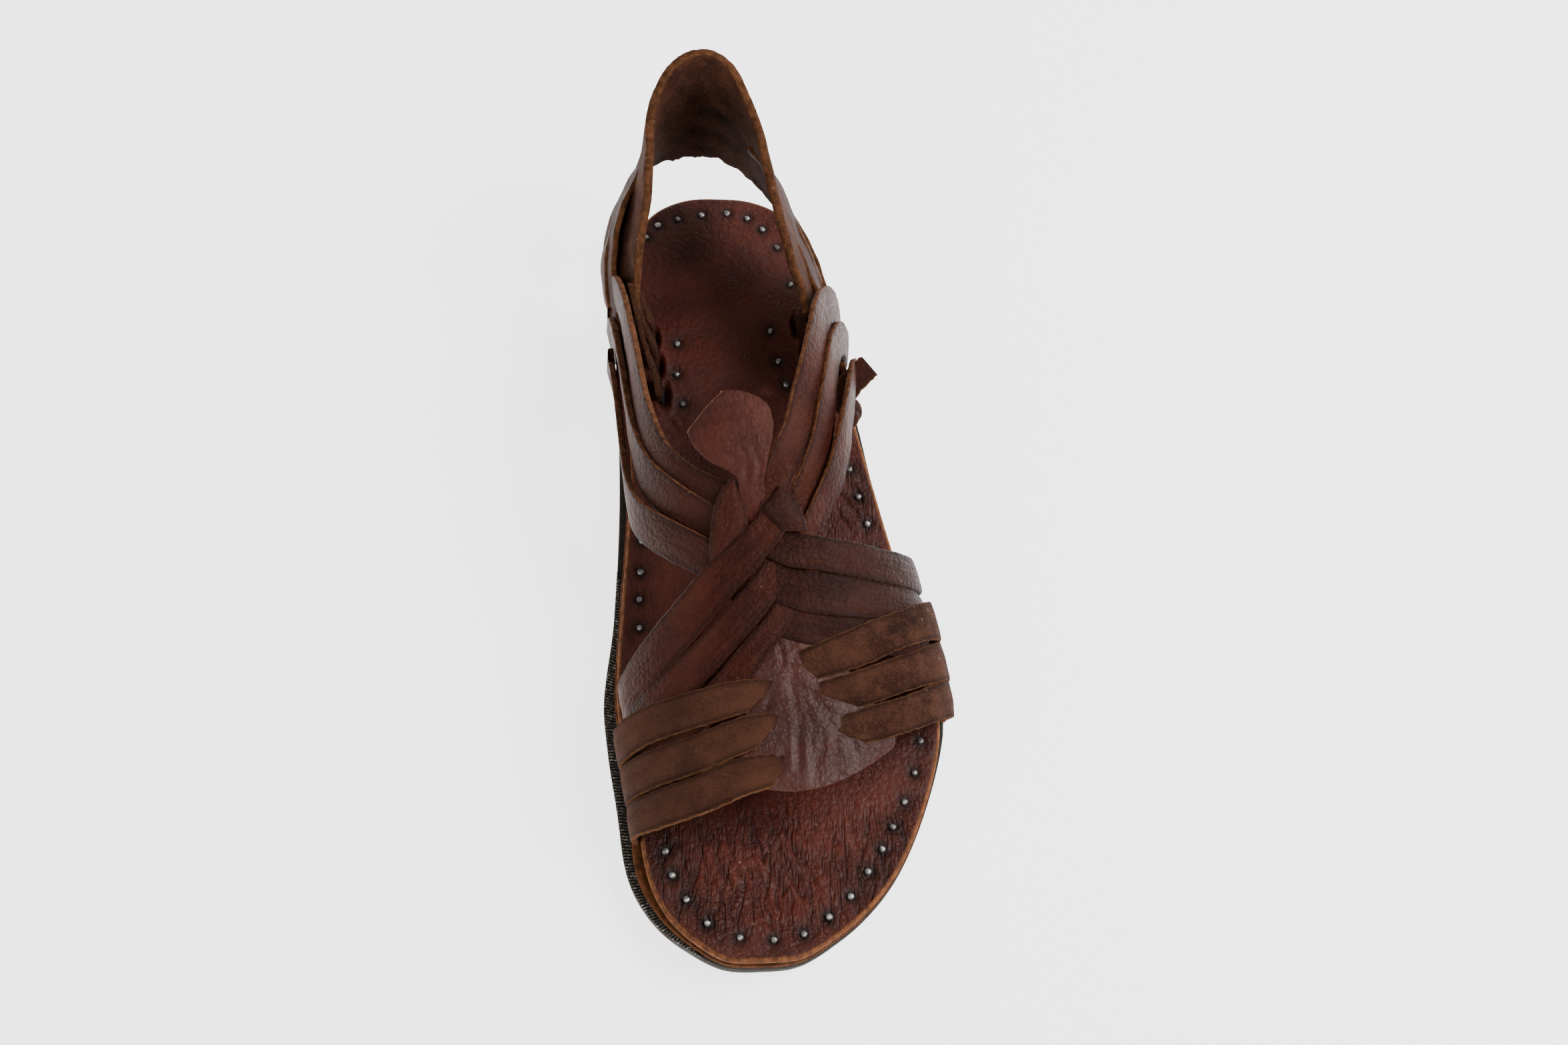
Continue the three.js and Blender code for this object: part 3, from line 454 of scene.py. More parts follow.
# Where x 0, along 0 lies in the frame, in millimetres, found from the first nail.
ORIGIN = np.array([
    (_nail_low.x + _nail_high.x) / 2 * MM_IN_M - NAILS[0][0],
    (_nail_low.y + _nail_high.y) / 2 * MM_IN_M + NAILS[0][1],
    0.0,
])


# Beside a crease the hide swells: share of the crease's depth, and place in half widths.
SWELL_SHARE, SWELL_PLACE = 0.35, 1.9


def troughs(along: np.ndarray, x: np.ndarray, table: Rows) -> np.ndarray:
    """Depth of soft creases.

    Each crease is two straight runs through three points. Across it the surface falls by
    depth times exp(-(d / width)^2) and swells a third as much beside it; towards both
    ends it fades out.

    Args: along, places from heel to toe; x, places across; table, the creases.
    Returns: change of height in millimetres, mostly negative.
    """
    total = np.zeros(np.broadcast(along, x).shape)
    for a0, x0, a1, x1, a2, x2, width, depth in table:
        near, place = None, None
        for share, (pa, px, qa, qx) in enumerate([(a0, x0, a1, x1), (a1, x1, a2, x2)]):
            da, dx = qa - pa, qx - px
            t = np.clip(((along - pa) * da + (x - px) * dx) / (da * da + dx * dx), 0, 1)
            d = np.hypot(along - pa - t * da, x - px - t * dx)
            closer = d < near if near is not None else np.ones_like(d, bool)
            place = np.where(closer, (share + t) / 2, place if place is not None else 0)
            near = np.where(closer, d, near if near is not None else 0)
        fade = np.sin(np.pi * np.clip(place * 0.86 + 0.07, 0, 1)) ** 0.7
        total -= depth * fade * bell(near, width)
        total += depth * SWELL_SHARE * fade * bell(near - SWELL_PLACE * width, width)
    return total


# ---- meshes ------------------------------------------------------------------------------


WELD_DISTANCE = 1e-7


def make_piece(name: str, points: np.ndarray, faces: np.ndarray, lay: np.ndarray,
               wear_and_painted_light: np.ndarray, weld: bool = False) -> bpy.types.Object:
    """Makes a smooth closed mesh object from points in the shoe's millimetres.

    Args: name, the piece's name; points, (..., 3) positions as x, minus along, z; faces,
    (m, 4) corner numbers, counted over the points laid end to end; lay, (..., 3)
    place in the leather: length along it, distance across it, height; wear, (..., 3)
    cut edge, stain and painted shade, and scuff and painted light. The first two go
    to 1; weld, merges points that coincide, at seams and poles.
    Returns: the object, in metres, with its faces outwards.
    """
    mesh = bpy.data.meshes.new(name)
    mesh.from_pydata(((points.reshape(-1, 3) + ORIGIN) / MM_IN_M).tolist(), [], faces.tolist())
    for label, values in (("lay", lay), ("wear_and_painted_light", wear_and_painted_light)):
        layer = mesh.attributes.new(label, "FLOAT_VECTOR", "POINT")
        layer.data.foreach_set("vector", np.ascontiguousarray(values, np.float32).ravel())
    shape = bmesh.new()
    shape.from_mesh(mesh)
    if weld:
        bmesh.ops.remove_doubles(shape, verts=shape.verts, dist=WELD_DISTANCE)
    bmesh.ops.recalc_face_normals(shape, faces=shape.faces)
    if shape.calc_volume(signed=True) < 0:
        bmesh.ops.reverse_faces(shape, faces=shape.faces)
    shape.to_mesh(mesh)
    shape.free()
    mesh.polygons.foreach_set("use_smooth", np.ones(len(mesh.polygons), bool))
    mesh.update()
    piece = bpy.data.objects.new(name, mesh)
    bpy.context.scene.collection.objects.link(piece)
    return piece


def grid_faces(rows: int, columns: int) -> np.ndarray:
    """Faces of a grid of points that closes round its columns.

    Args: rows, how many rings of points; columns, points in each ring.
    Returns: (m, 4) corner numbers.
    """
    i, j = np.meshgrid(np.arange(rows - 1), np.arange(columns), indexing="ij")
    here, ahead, k = i * columns, (i + 1) * columns, (j + 1) % columns
    return np.stack([here + j, ahead + j, ahead + k, here + k], -1).reshape(-1, 4)


def capped_faces(rows: int, columns: int) -> np.ndarray:
    """Faces of a tube of rings, with strips between its two halves at both ends.

    Args: rows, how many rings; columns, points in each ring, an even number.
    Returns: (m, 4) corner numbers.
    """
    j = np.arange(columns // 2 - 1)
    cap = np.stack([j, j + 1, columns - 2 - j, columns - 1 - j], -1)
    return np.concatenate([grid_faces(rows, columns), cap, (cap + (rows - 1) * columns)[:, ::-1]])


def cross_section(thick: float, corner: float, flat: int) -> tuple[np.ndarray, ...]:
    """Ring round a strap's cross-section, a rectangle with rounded corners.

    Args: thick, the leather's thickness; corner, radius of the rounded corners; flat,
        points across each face.
    Returns: share of the half width, distance added to it, height, and cut edge, for
        each point of the ring, from the left edge over the face to the right edge and
        back under it.
    """
    bend = np.linspace(0, np.pi / 2, 4)
    face = np.sin(np.linspace(-np.pi / 2, np.pi / 2, flat))
    share = np.concatenate([-np.ones(3), face, np.ones(3)])
    out = np.concatenate([-corner * np.cos(bend[:3]), np.zeros(flat), corner * np.cos(bend[2::-1])])
    up = corner * np.sin(bend[:3]) - corner
    height = np.concatenate([up, np.zeros(flat), up[::-1]])
    raw = np.concatenate([[1, 0.95, 0.6], [0.12], np.zeros(flat - 2), [0.12], [0.6, 0.95, 1]])
    return (np.concatenate([share, share[::-1]]), np.concatenate([out, out[::-1]]),
            np.concatenate([thick + height, -height[::-1]]), np.concatenate([raw, raw[::-1]]))


class Hide(Enum):
    """Which side of the hide a piece of leather shows."""

    GRAIN = "grain"
    FLESH = "flesh"


# End rings of a strap or wall: how flat they are drawn in, and how far past the end.
END_SQUEEZE, END_REACH = 0.45, 0.06


@dataclass
class Strap:
    """A leather strap on the foot: a rounded cross-section carried along a row table.

    Its middle follows a Catmull-Rom curve through the rows. Across it, points step over
    the foot's surface at right angles to the curve.

    slant shortens one side at the start and at the end, in rows, and its sign picks the
    side. pleats are place, reach and height. tilt raises the right side and edges are
    the paleness of both cut edges, up to turn_row, where the strap meets the crossing.
    """

    name: str
    rows: Rows
    hide: Hide = Hide.GRAIN
    slant: tuple[float, float] = (0, 0)
    thick: float = LEATHER
    crown: float = 0.25
    pleats: Triple = (0, 1, 0)
    creases: Rows = field(default_factory=list)
    per_row: int = 9
    flat: int = 15
    ragged: float = 0.12
    tilt: float = 0.0
    edges: tuple[float, float] = (0.5, 0.5)
    turn_row: float = 99.0
    # Strength of the painted shade along the rim.
    rim_shade: float = 0.5
    # Strength of the painted light on the rows before the crossing.
    painted_light: float = 0.0

    # Shares and sizes that all straps have in common, in millimetres.
    corner_share: ClassVar[float] = 0.3
    widest_corner: ClassVar[float] = 0.6
    narrowest: ClassVar[float] = 0.1
    settled_edge: ClassVar[float] = 0.45
    end_cut: ClassVar[float] = 0.7
    # Painted shade: reach of the dark bell along the rim, and strength and reach of the dark tip.
    rim_shade_reach: ClassVar[float] = 0.9
    tip_shade: ClassVar[float] = 0.7
    tip_reach: ClassVar[float] = 3.5
    crease_share: ClassVar[float] = 0.8
    uneven: ClassVar[float] = 0.13

    def spline(self, u: np.ndarray) -> np.ndarray:
        """Follows a Catmull-Rom curve through the rows.

        Args: u, places, counted in rows.
        Returns: the row's numbers at each place.
        """
        rows = np.array(self.rows, float)
        i = np.clip(np.floor(u).astype(int), 0, len(rows) - 2)
        t = (u - i)[..., None]
        a, b, c, d = (rows[np.clip(i + k, 0, len(rows) - 1)] for k in (-1, 0, 1, 2))
        return b + 0.5 * t * (c - a + t * (2 * a - 5 * b + 4 * c - d + t * (3 * (b - c) + d - a)))

    def across(self, u: np.ndarray) -> tuple[np.ndarray, np.ndarray]:
        """Finds the way across the strap, square to its middle line on the surface.

        The sideways direction is split over the surface's two slopes by solving the two
        by two system of their dot products.

        Args: u, places, counted in rows.
        Returns: the change of along and of girth that moves one millimetre across.
        """
        here = self.spline(u)
        ahead, behind = (
            self.spline(np.clip(u + step, 0, len(self.rows) - 1)) for step in (ROW_STEP, -ROW_STEP)
        )
        ahead, behind = (FOOT.surface(row[..., 0], row[..., 1]) for row in (ahead, behind))
        by_along, by_girth, normal = FOOT.tangents(here[..., 0], here[..., 1])
        side = unit(np.cross(normal, unit(ahead - behind)))
        aa, ag, gg = ((p * q).sum(-1) for p, q in
                      ((by_along, by_along), (by_along, by_girth), (by_girth, by_girth)))
        sa, sg = (side * by_along).sum(-1), (side * by_girth).sum(-1)
        scale = 1 / (aa * gg - ag * ag)
        return (sa * gg - sg * ag) * scale, (sg * aa - sa * ag) * scale

    def fringe(self, u: np.ndarray, share: np.ndarray, seed: int) -> np.ndarray:
        """Raggedness of the cut edges: short waves that grow with share^6.

        Args: u, places, in rows; share, share of the half width; seed, draw of the waves.
        Returns: distance added across, in millimetres.
        """
        short = waves(np.stack([u * 14, share * 9], -1), 2.6, seed)
        return np.abs(share) ** 6 * self.ragged * short

    def place(self, u: np.ndarray, share: np.ndarray, out: np.ndarray, height: np.ndarray,
              seed: int) -> tuple[np.ndarray, np.ndarray]:
        """Places points of the cross-section.

        Args: u, places, in rows; share, share of the half width; out, distance added to
            it; height, height in the leather; seed, draw of the ragged edges.
        Returns: positions, and the distance across in millimetres.
        """
        along, girth, width, lift = np.moveaxis(self.spline(u), -1, 0)
        corner = abs(out).max()
        offset = share * np.maximum(width / 2 - corner, self.narrowest) + out
        offset = offset + self.fringe(u, share, seed)
        by_along, by_girth = self.across(u)
        along, girth = along + by_along * offset, girth + by_girth * offset
        lift = lift + self.tilt * share * self.before_turn(u)
        return self.finish(along, girth, lift + height, share), offset

    def before_turn(self, u: np.ndarray) -> np.ndarray:
        """Returns 1 on the rows before the strap reaches the crossing, 0 after it."""
        return soft((self.turn_row - u) / 2)

    def finish(self, along: np.ndarray, girth: np.ndarray, lift: np.ndarray,
               share: np.ndarray) -> np.ndarray:
        """Lifts points off the foot, crowned across by 1 - share^2 and creased.

        Args: along, places along; girth, places round the foot; lift, distance from the
            foot's surface; share, share of the half width.
        Returns: positions as x, minus along, z.
        """
        spot = FOOT.surface(along, girth)
        lift = lift + self.crown * (1 - share ** 2)
        if self.creases:
            lift = lift + self.crease_share * troughs(along, spot[..., 0], self.creases)
        lift = lift + self.uneven * waves(spot, 9, 5)
        return FOOT.above(along, girth, lift)

    def build(self, seed: int) -> bpy.types.Object:
        """Carries the cross-section along the rows, with two small rings at each end.

        Args: seed, draw of the ragged edges.
        Returns: the object.
        """
        last = len(self.rows) - 1
        corner = min(self.widest_corner, self.thick * self.corner_share)
        share, out, height, raw = cross_section(self.thick, corner, self.flat)
        steps = np.linspace(0, 1, last * self.per_row + 1)
        steps = np.concatenate([[0, 0], steps, [1, 1]])[:, None]
        inset = np.zeros(steps.shape)
        inset[0] = inset[-1] = 1
        lean = (share + 1) / 2
        start, end = (abs(slant) * (lean if slant > 0 else 1 - lean) for slant in self.slant)
        u = start + (last - end - start) * steps
        u = np.clip(u + END_REACH * inset * np.sign(steps - 0.5), 0, last)
        tall = self.thick / 2 + (height - self.thick / 2) * (1 - END_SQUEEZE * inset)
        share = share + 0 * u
        length = self.lengths(u)
        tall = tall + self.pleat_height(length, share) * (height > self.thick / 2)
        points, offset = self.place(u, share, out * (1 - 0.4 * inset), tall, seed)
        wear_and_painted_light = self.wear_and_painted_light(u, share, length, np.stack(np.broadcast_arrays(raw, inset)))
        lay = np.stack([length, offset, tall], -1)
        return make_piece(self.name, points, capped_faces(*u.shape), lay, wear_and_painted_light)

    def wear_and_painted_light(self, u: np.ndarray, share: np.ndarray, length: np.ndarray,
             cut: np.ndarray) -> np.ndarray:
        """Works out the cut edges, the painted shade and the scuffs with painted light.

        The cut edges are pale. Painted shade lies in a bell along the rim, where the strap
        meets its neighbours, and on a flesh side's tip, where it dives under the next piece.
        Painted light, where it is set, brightens the rows before the crossing.

        Args: u, places, in rows; share, share of the half width; length, length along the
            strap; cut, how much of a cut face the sides and the ends are, as two layers.
        Returns: (..., 3) cut edge, painted shade, and scuff with painted light.
        """
        raw, inset = cut
        paleness = np.where(share < 0, *self.edges)
        paleness = self.settled_edge + (paleness - self.settled_edge) * self.before_turn(u)
        edge = np.maximum(raw * paleness, self.end_cut * inset)
        near = (1 - np.abs(share)) * self.half_width(u)
        # Painted shade: a dark bell along the rim, where the strap meets its neighbours.
        dark = self.rim_shade * bell(near, self.rim_shade_reach) * (1 - soft(edge * 2))
        tip = soft((length - length.max() + self.tip_reach) / self.tip_reach)
        # Painted shade on a flesh side's tip, where it dives under the next piece.
        dark = np.maximum(dark, self.tip_shade * tip * (self.hide is Hide.FLESH))
        # Painted light on the rows before the crossing, added to the scuffs.
        scuff = self.scuffs(length, share) + self.painted_light * self.before_turn(u)
        return np.stack([edge, dark, scuff], -1)

    def middle(self, u: np.ndarray) -> np.ndarray:
        """Returns points of the foot under the strap's middle at each place u."""
        row = self.spline(u)
        return FOOT.surface(row[:, 0], row[:, 1])

    def lengths(self, u: np.ndarray) -> np.ndarray:
        """Returns length along the strap's middle at each place u."""
        dense = np.linspace(0, len(self.rows) - 1, 12 * len(self.rows))
        return np.interp(u, dense, run_of(self.middle(dense)))

    def half_width(self, u: np.ndarray) -> np.ndarray:
        """Returns half the strap's width at each place u."""
        return self.spline(u)[..., 2] / 2

    def pleat_height(self, length: np.ndarray, share: np.ndarray) -> np.ndarray:
        """Pleats near one place: sines across the strap that fade with distance from it.

        Args: length, length along the strap; share, share of the half width.
        Returns: added height.
        """
        where, reach, height = self.pleats
        wander = 1.5 * waves(np.stack([length, share * 6], -1), 14, 31)
        return height * bell(length - where, reach) * np.sin(share * 13 + wander)

    def scuffs(self, length: np.ndarray, share: np.ndarray) -> np.ndarray:
        """Returns where the surface is rubbed, in broad swells along the strap."""
        return soft(0.5 + 0.5 * waves(np.stack([length, share * 10], -1), 34, 77))


@dataclass
class Patch(Strap):
    """A wide piece of leather given by its left and its right edge, row by row.

    Its rows hold along and girth of the left edge, the same of the right edge, lift, and
    how far the middle bows towards the toes.
    """

    rim: ClassVar[float] = 0.3

    def place(self, u: np.ndarray, share: np.ndarray, out: np.ndarray, height: np.ndarray,
              seed: int) -> tuple[np.ndarray, np.ndarray]:
        """Places points as Strap.place does.

        Along and girth go evenly from the left to the right edge, and the middle bows
        towards the toes by bow times 1 - share^2.

        Args: as Strap.place.
        Returns: positions, and the distance across in millimetres.
        """
        row = np.moveaxis(self.spline(u), -1, 0)
        left_along, left_girth, right_along, right_girth, lift, bow = row
        half = self.half_width(u) + self.rim
        share = share + out / half
        share = share + self.fringe(u, share, seed) / half
        t = (share + 1) / 2
        along = left_along + (right_along - left_along) * t + bow * (1 - share ** 2)
        girth = left_girth + (right_girth - left_girth) * t
        return self.finish(along, girth, lift + height, share), share * half

    def half_width(self, u: np.ndarray) -> np.ndarray:
        """Returns half the distance between the two edges at each place u."""
        row = self.spline(u)
        left, right = (FOOT.surface(row[..., n], row[..., n + 1]) for n in (0, 2))
        return np.linalg.norm(right - left, axis=-1) / 2

    def middle(self, u: np.ndarray) -> np.ndarray:
        """Returns points of the foot under the middle of the piece at each place u."""
        row = self.spline(u)
        return FOOT.surface((row[:, 0] + row[:, 2]) / 2 + row[:, 5], (row[:, 1] + row[:, 3]) / 2)


@dataclass
class Wall:
    """A standing band of leather between a lower and an upper edge, each x, along, z.

    The wall's outer face stands out from the line between the edges by its thickness.

    creases push the inner face in, and ragged_low is the unevenness of the lower edge.
    """

    name: str
    rows: Rows
    thick: float
    per_row: int = 12
    flat: int = 22
    creases: Rows = field(default_factory=list)
    ragged_low: float = 0.0

    # Shares and sizes that all walls have in common, in millimetres.
    corner_share: ClassVar[float] = 0.42
    widest_corner: ClassVar[float] = 1.2
    fray: ClassVar[float] = 0.35
    uneven: ClassVar[float] = 0.25
    crease_row: ClassVar[float] = 8.0
    crease_height: ClassVar[float] = 45.0
    most_shade: ClassVar[float] = 0.85

    def build(self, seed: int) -> bpy.types.Object:
        """Carries the cross-section along both edges.

        A point lies a share v of the way from the lower to the upper edge, and then
        stands out along the cross product of that way and the way along the band.

        Args: seed, draw of the edges and of the unevenness.
        Returns: the object.
        """
        table = np.array(self.rows, float) * [1, -1, 1, 1, -1, 1]
        last = len(table) - 1
        curves = [Curve(np.arange(last + 1), column) for column in table.T]
        steps = np.linspace(0, last, last * self.per_row + 1)
        steps = np.concatenate([[0, 0], steps, [last, last]])[:, None]
        inset = np.zeros(steps.shape)
        inset[0] = inset[-1] = 1
        corner = min(self.widest_corner, self.thick * self.corner_share)
        share, out, height, raw = cross_section(self.thick, corner, self.flat)
        u = steps + 0 * share
        low, high = (np.stack([c(u) for c in trio], -1) for trio in (curves[:3], curves[3:]))
        low_way, high_way = (
            np.stack([c(u + ROW_STEP) - c(u - ROW_STEP) for c in trio], -1)
            for trio in (curves[:3], curves[3:])
        )
        up = high - low
        tall = np.linalg.norm(up, axis=-1)
        v = 0.5 + share * (0.5 - corner / tall) + out / tall
        outward = unit(np.cross(up, low_way + (high_way - low_way) * v[..., None]))
        spot = low + up * v[..., None]
        edge = np.abs(share) ** 8
        torn = waves(spot, 7, seed + 1) + 0.5 * waves(spot, 2, seed + 2)
        v = v + edge * self.fray / tall * waves(spot, 2.2, seed)
        v = v + edge * (share < 0) * self.ragged_low / tall * torn
        deep = self.thick / 2 + (height - self.thick / 2) * (1 - END_SQUEEZE * inset)
        deep = deep + self.uneven * waves(spot, 13, seed + 3)
        inside = height < self.thick / 2
        creased = self.crease_depth(u, v)
        deep = deep - inside * creased
        points = low + up * v[..., None] + outward * deep[..., None]
        # Painted shade: the inner face darker towards its foot and in its creases.
        shade = inside * (soft((self.most_shade - v) / 0.5) * 0.3 - 1.1 * creased)
        scuff = soft(0.5 + 0.5 * waves(spot, 22, seed + 4))
        cut = np.maximum(raw + 0 * u, inset)
        lay = np.stack([run_of(points[:, 0])[:, None] + 0 * u, v * tall, deep], -1)
        wear_and_painted_light = np.stack([cut, np.clip(shade, 0, self.most_shade), scuff], -1)
        return make_piece(self.name, points, capped_faces(*u.shape), lay, wear_and_painted_light)

    def crease_depth(self, u: np.ndarray, v: np.ndarray) -> np.ndarray:
        """Works out how far the creases push the inner face in.

        A crease is straight, with a bell across it and half a sine along it.

        Args: u, places, in rows; v, share of the height.
        Returns: the push, in millimetres, zero or less.
        """
        total = np.zeros(u.shape)
        for u0, v0, u1, v1, width, depth in self.creases:
            du, dv = (u1 - u0) * self.crease_row, (v1 - v0) * self.crease_height
            pu, pv = (u - u0) * self.crease_row, (v - v0) * self.crease_height
            t = np.clip((pu * du + pv * dv) / (du * du + dv * dv), 0, 1)
            d = np.hypot(pu - t * du, pv - t * dv)
            total -= depth * bell(d, width) * np.sin(np.pi * (0.1 + 0.8 * t))
        return total


# ---- shader groups -------------------------------------------------------------------------


class Tree:
    """Short hand for a node tree: add() makes a node and fills or links its inputs."""

    def __init__(self, tree: bpy.types.NodeTree) -> None:
        """Keeps the node tree that nodes are added to."""
        self.tree = tree

    def fill(self, node: bpy.types.Node, inputs: dict[str | int, Value]) -> None:
        """Fills a node's inputs, by name or number, with values or links to sockets."""
        for key, value in inputs.items():
            if isinstance(value, bpy.types.NodeSocket):
                self.tree.links.new(value, node.inputs[key])
            else:
                node.inputs[key].default_value = value

    def add(self, kind: str, inputs: dict[str | int, Value] | None = None,
            **props: Any) -> bpy.types.Node:
        """Makes a shader node.

        Args: kind, its type, without the word that all shader nodes start with; inputs,
            as fill(); props, settings of the node itself.
        Returns: the node.
        """
        node = self.tree.nodes.new("ShaderNode" + kind)
        for key, value in props.items():
            setattr(node, key, value)
        self.fill(node, inputs or {})
        return node

    def math(self, how: str, a: Value, b: Value = 0.0, clamp: bool = False) -> Socket:
        """Returns the result of a Math node."""
        return self.add("Math", {0: a, 1: b}, operation=how, use_clamp=clamp).outputs[0]

    def times(self, a: Value, b: Value) -> Socket:
        """Returns a times b."""
        return self.math("MULTIPLY", a, b)

    def plus(self, a: Value, b: Value) -> Socket:
        """Returns a plus b."""
        return self.math("ADD", a, b)

    def step(self, value: Value, low: float, high: float, to_low: float = 0,
             to_high: float = 1) -> Socket:
        """Returns value mapped smoothly from low..high to to_low..to_high."""
        ends = {"From Min": low, "From Max": high, "To Min": to_low, "To Max": to_high}
        return self.add("MapRange", {"Value": value, **ends},
                        interpolation_type="SMOOTHSTEP").outputs[0]

    def mix(self, share: Value, a: Value, b: Value) -> Socket:
        """Returns colours a and b mixed by share."""
        return self.add("Mix", {0: share, 6: colour(a), 7: colour(b)}, data_type="RGBA").outputs[2]

    def noise(self, vector: Socket, scale: Value, detail: float = 3, rough: float = 0.5) -> Socket:
        """Returns the value of a noise texture."""
        return self.add("TexNoise", {"Vector": vector, "Scale": scale, "Detail": detail,
                                     "Roughness": rough}).outputs["Fac"]

    def stretch(self, vector: Socket, scale: Triple) -> Socket:
        """Returns the vector multiplied part by part."""
        return self.add("VectorMath", {0: vector, 1: scale}, operation="MULTIPLY").outputs[0]

    def bend(self, vector: Socket, scale: float, detail: float, reach: float) -> Socket:
        """Returns the vector shifted unevenly, up to reach metres, by a colour noise."""
        noise = self.add("TexNoise", {"Vector": vector, "Scale": scale, "Detail": detail})
        shift = self.stretch(noise.outputs["Color"], (reach, reach, reach))
        return self.add("VectorMath", {0: vector, 1: shift}, operation="ADD").outputs[0]

    def bump(self, shader: bpy.types.Node, height: Socket, strength: float,
             depth: float = 0.0006) -> None:
        """Gives a shader its bump. Args: strength, its share; depth, height 1 in metres."""
        bump = self.add("Bump", {"Height": height, "Strength": strength, "Distance": depth})
        self.fill(shader, {"Normal": bump.outputs[0]})


def colour(value: Socket | Triple) -> Socket | tuple[float, ...]:
    """Returns a socket as it is, or a colour with its alpha."""
    return value if isinstance(value, bpy.types.NodeSocket) else (*value, 1.0)


def shader_group(name: str, inputs: dict[str, float | Triple], outputs: list[str],
                 fill: Callable[[Tree, Sockets], list[Socket]]) -> bpy.types.NodeTree:
    """Builds a shader node group once.

    Args: name, the group's name; inputs, each input's name with its default, a vector
        where that is a tuple; outputs, names of its value outputs; fill, called with the
        tree and the group's input sockets, returns the outputs.
    Returns: the group.
    """
    tree = bpy.data.node_groups.new(name, "ShaderNodeTree")
    for key, value in inputs.items():
        kind = "NodeSocketVector" if isinstance(value, tuple) else "NodeSocketFloat"
        socket = tree.interface.new_socket(name=key, in_out="INPUT", socket_type=kind)
        if kind == "NodeSocketFloat":
            socket.default_value = value
    for key in outputs:
        tree.interface.new_socket(name=key, in_out="OUTPUT", socket_type="NodeSocketFloat")
    start, end = tree.nodes.new("NodeGroupInput"), tree.nodes.new("NodeGroupOutput")
    for key, socket in zip(outputs, fill(Tree(tree), start.outputs)):
        tree.links.new(socket, end.inputs[key])
    return tree


# In the groups below, a scale counts features in a metre, and each fill_ function takes
# the tree and the group's inputs and returns its outputs in order.


def fill_grain(t: Tree, i: Sockets) -> list[Socket]:
    """Pebbled hide: rounded cells with finer noise over them.

    Args: t, its tree; i, its Vector and Scale.
    Returns: height and tone.
    """
    spot = t.bend(i["Vector"], 90.0, 2.0, 0.004)
    cells = t.add("TexVoronoi", {"Vector": spot, "Scale": i["Scale"], "Randomness": 0.9},
                  feature="F1").outputs["Distance"]
    fine = t.noise(spot, t.times(i["Scale"], 0.7), 4, 0.7)
    height = t.plus(t.times(t.math("SUBTRACT", 1.0, cells), 0.6), t.times(fine, 0.8))
    return [height, t.step(height, 0.5, 0.95)]


def fill_fibres(t: Tree, i: Sockets) -> list[Socket]:
    """Lines along a strap: noise drawn out lengthwise, strong in patches.

    Args: t, its tree; i, its Lay in millimetres.
    Returns: value, 0 to 1.
    """
    wide = t.noise(t.stretch(i["Lay"], (0.05, 0.7, 0.3)), 1.0, 3, 0.6)
    fine = t.noise(t.stretch(i["Lay"], (0.12, 2.2, 0.8)), 1.0, 3, 0.65)
    both = t.plus(t.times(wide, 0.45), t.times(fine, 0.6))
    patch = t.noise(t.stretch(i["Lay"], (0.06, 0.12, 0.1)), 1.0, 2)
    return [t.times(t.step(both, 0.41, 0.68), t.step(patch, 0.36, 0.62, 0.35, 1))]


def fill_raw_edge(t: Tree, i: Sockets) -> list[Socket]:
    """Cut leather: the edge value broken up by noise.

    Args: t, its tree; i, its Vector, Edge and Ragged.
    Returns: mask and tone.
    """
    rough = t.math("SUBTRACT", t.noise(i["Vector"], 1100.0, 3, 0.7), 0.5)
    value = t.plus(i["Edge"], t.times(rough, i["Ragged"]))
    return [t.step(value, 0.42, 0.78), t.step(t.noise(i["Vector"], 420.0, 3, 0.6), 0.3, 0.72)]


def fill_nap(t: Tree, i: Sockets) -> list[Socket]:
    """Flesh side: felted fibres in clumps.

    Args: t, its tree; i, its Vector.
    Returns: height and tone.
    """
    clumps = t.noise(i["Vector"], 400.0, 4, 0.7)
    hairs = t.noise(t.stretch(i["Vector"], (1.0, 1.6, 1.0)), 1100.0, 3, 0.8)
    patches = t.noise(i["Vector"], 130.0, 5, 0.7)
    height = t.plus(t.times(clumps, 0.45), t.times(hairs, 0.6))
    tone = t.plus(t.times(patches, 0.55), t.times(hairs, 0.5))
    return [height, t.step(tone, 0.43, 0.64)]


def fill_mottle(t: Tree, i: Sockets) -> list[Socket]:
    """Returns broad changes of tone, 0 to 1: noise stretched to full range."""
    return [t.step(t.noise(i["Vector"], i["Scale"], 5, 0.58), 0.33, 0.68)]


def fill_wrinkles(t: Tree, i: Sockets) -> list[Socket]:
    """Fine lengthwise wrinkles that slant outwards.

    Noise at two scales, drawn out along one direction, is folded at its middle value.

    Args: t, its tree; i, its Vector.
    Returns: depth.
    """
    slant, drawn_out = (0.0, 0.0, -0.4), (1.0, 0.22, 1.0)
    turned = t.add("Mapping", {"Vector": i["Vector"], "Rotation": slant, "Scale": drawn_out})
    depths = []
    for scale, wide in ((170.0, 0.05), (420.0, 0.075)):
        noise = t.noise(turned.outputs[0], scale, 2, 0.5)
        fold = t.math("ABSOLUTE", t.math("SUBTRACT", noise, 0.5))
        depths.append(t.step(fold, 0.0, wide, 1, 0))
    return [t.plus(t.times(depths[0], 0.9), t.times(depths[1], 0.6))]


def fill_crackle(t: Tree, i: Sockets) -> list[Socket]:
    """Cracked finish: thin lines between bent Voronoi cells, in patches.

    Args: t, its tree; i, its Vector and Scale.
    Returns: line depth, 0 to 1.
    """
    spot = t.bend(i["Vector"], 160.0, 3.0, 0.005)
    cell = t.add("TexVoronoi", {"Vector": spot, "Scale": i["Scale"]},
                 feature="DISTANCE_TO_EDGE").outputs["Distance"]
    patch = t.step(t.noise(i["Vector"], 70.0, 2), 0.35, 0.65)
    return [t.times(t.step(cell, 0.0, 0.16, 1, 0), patch)]


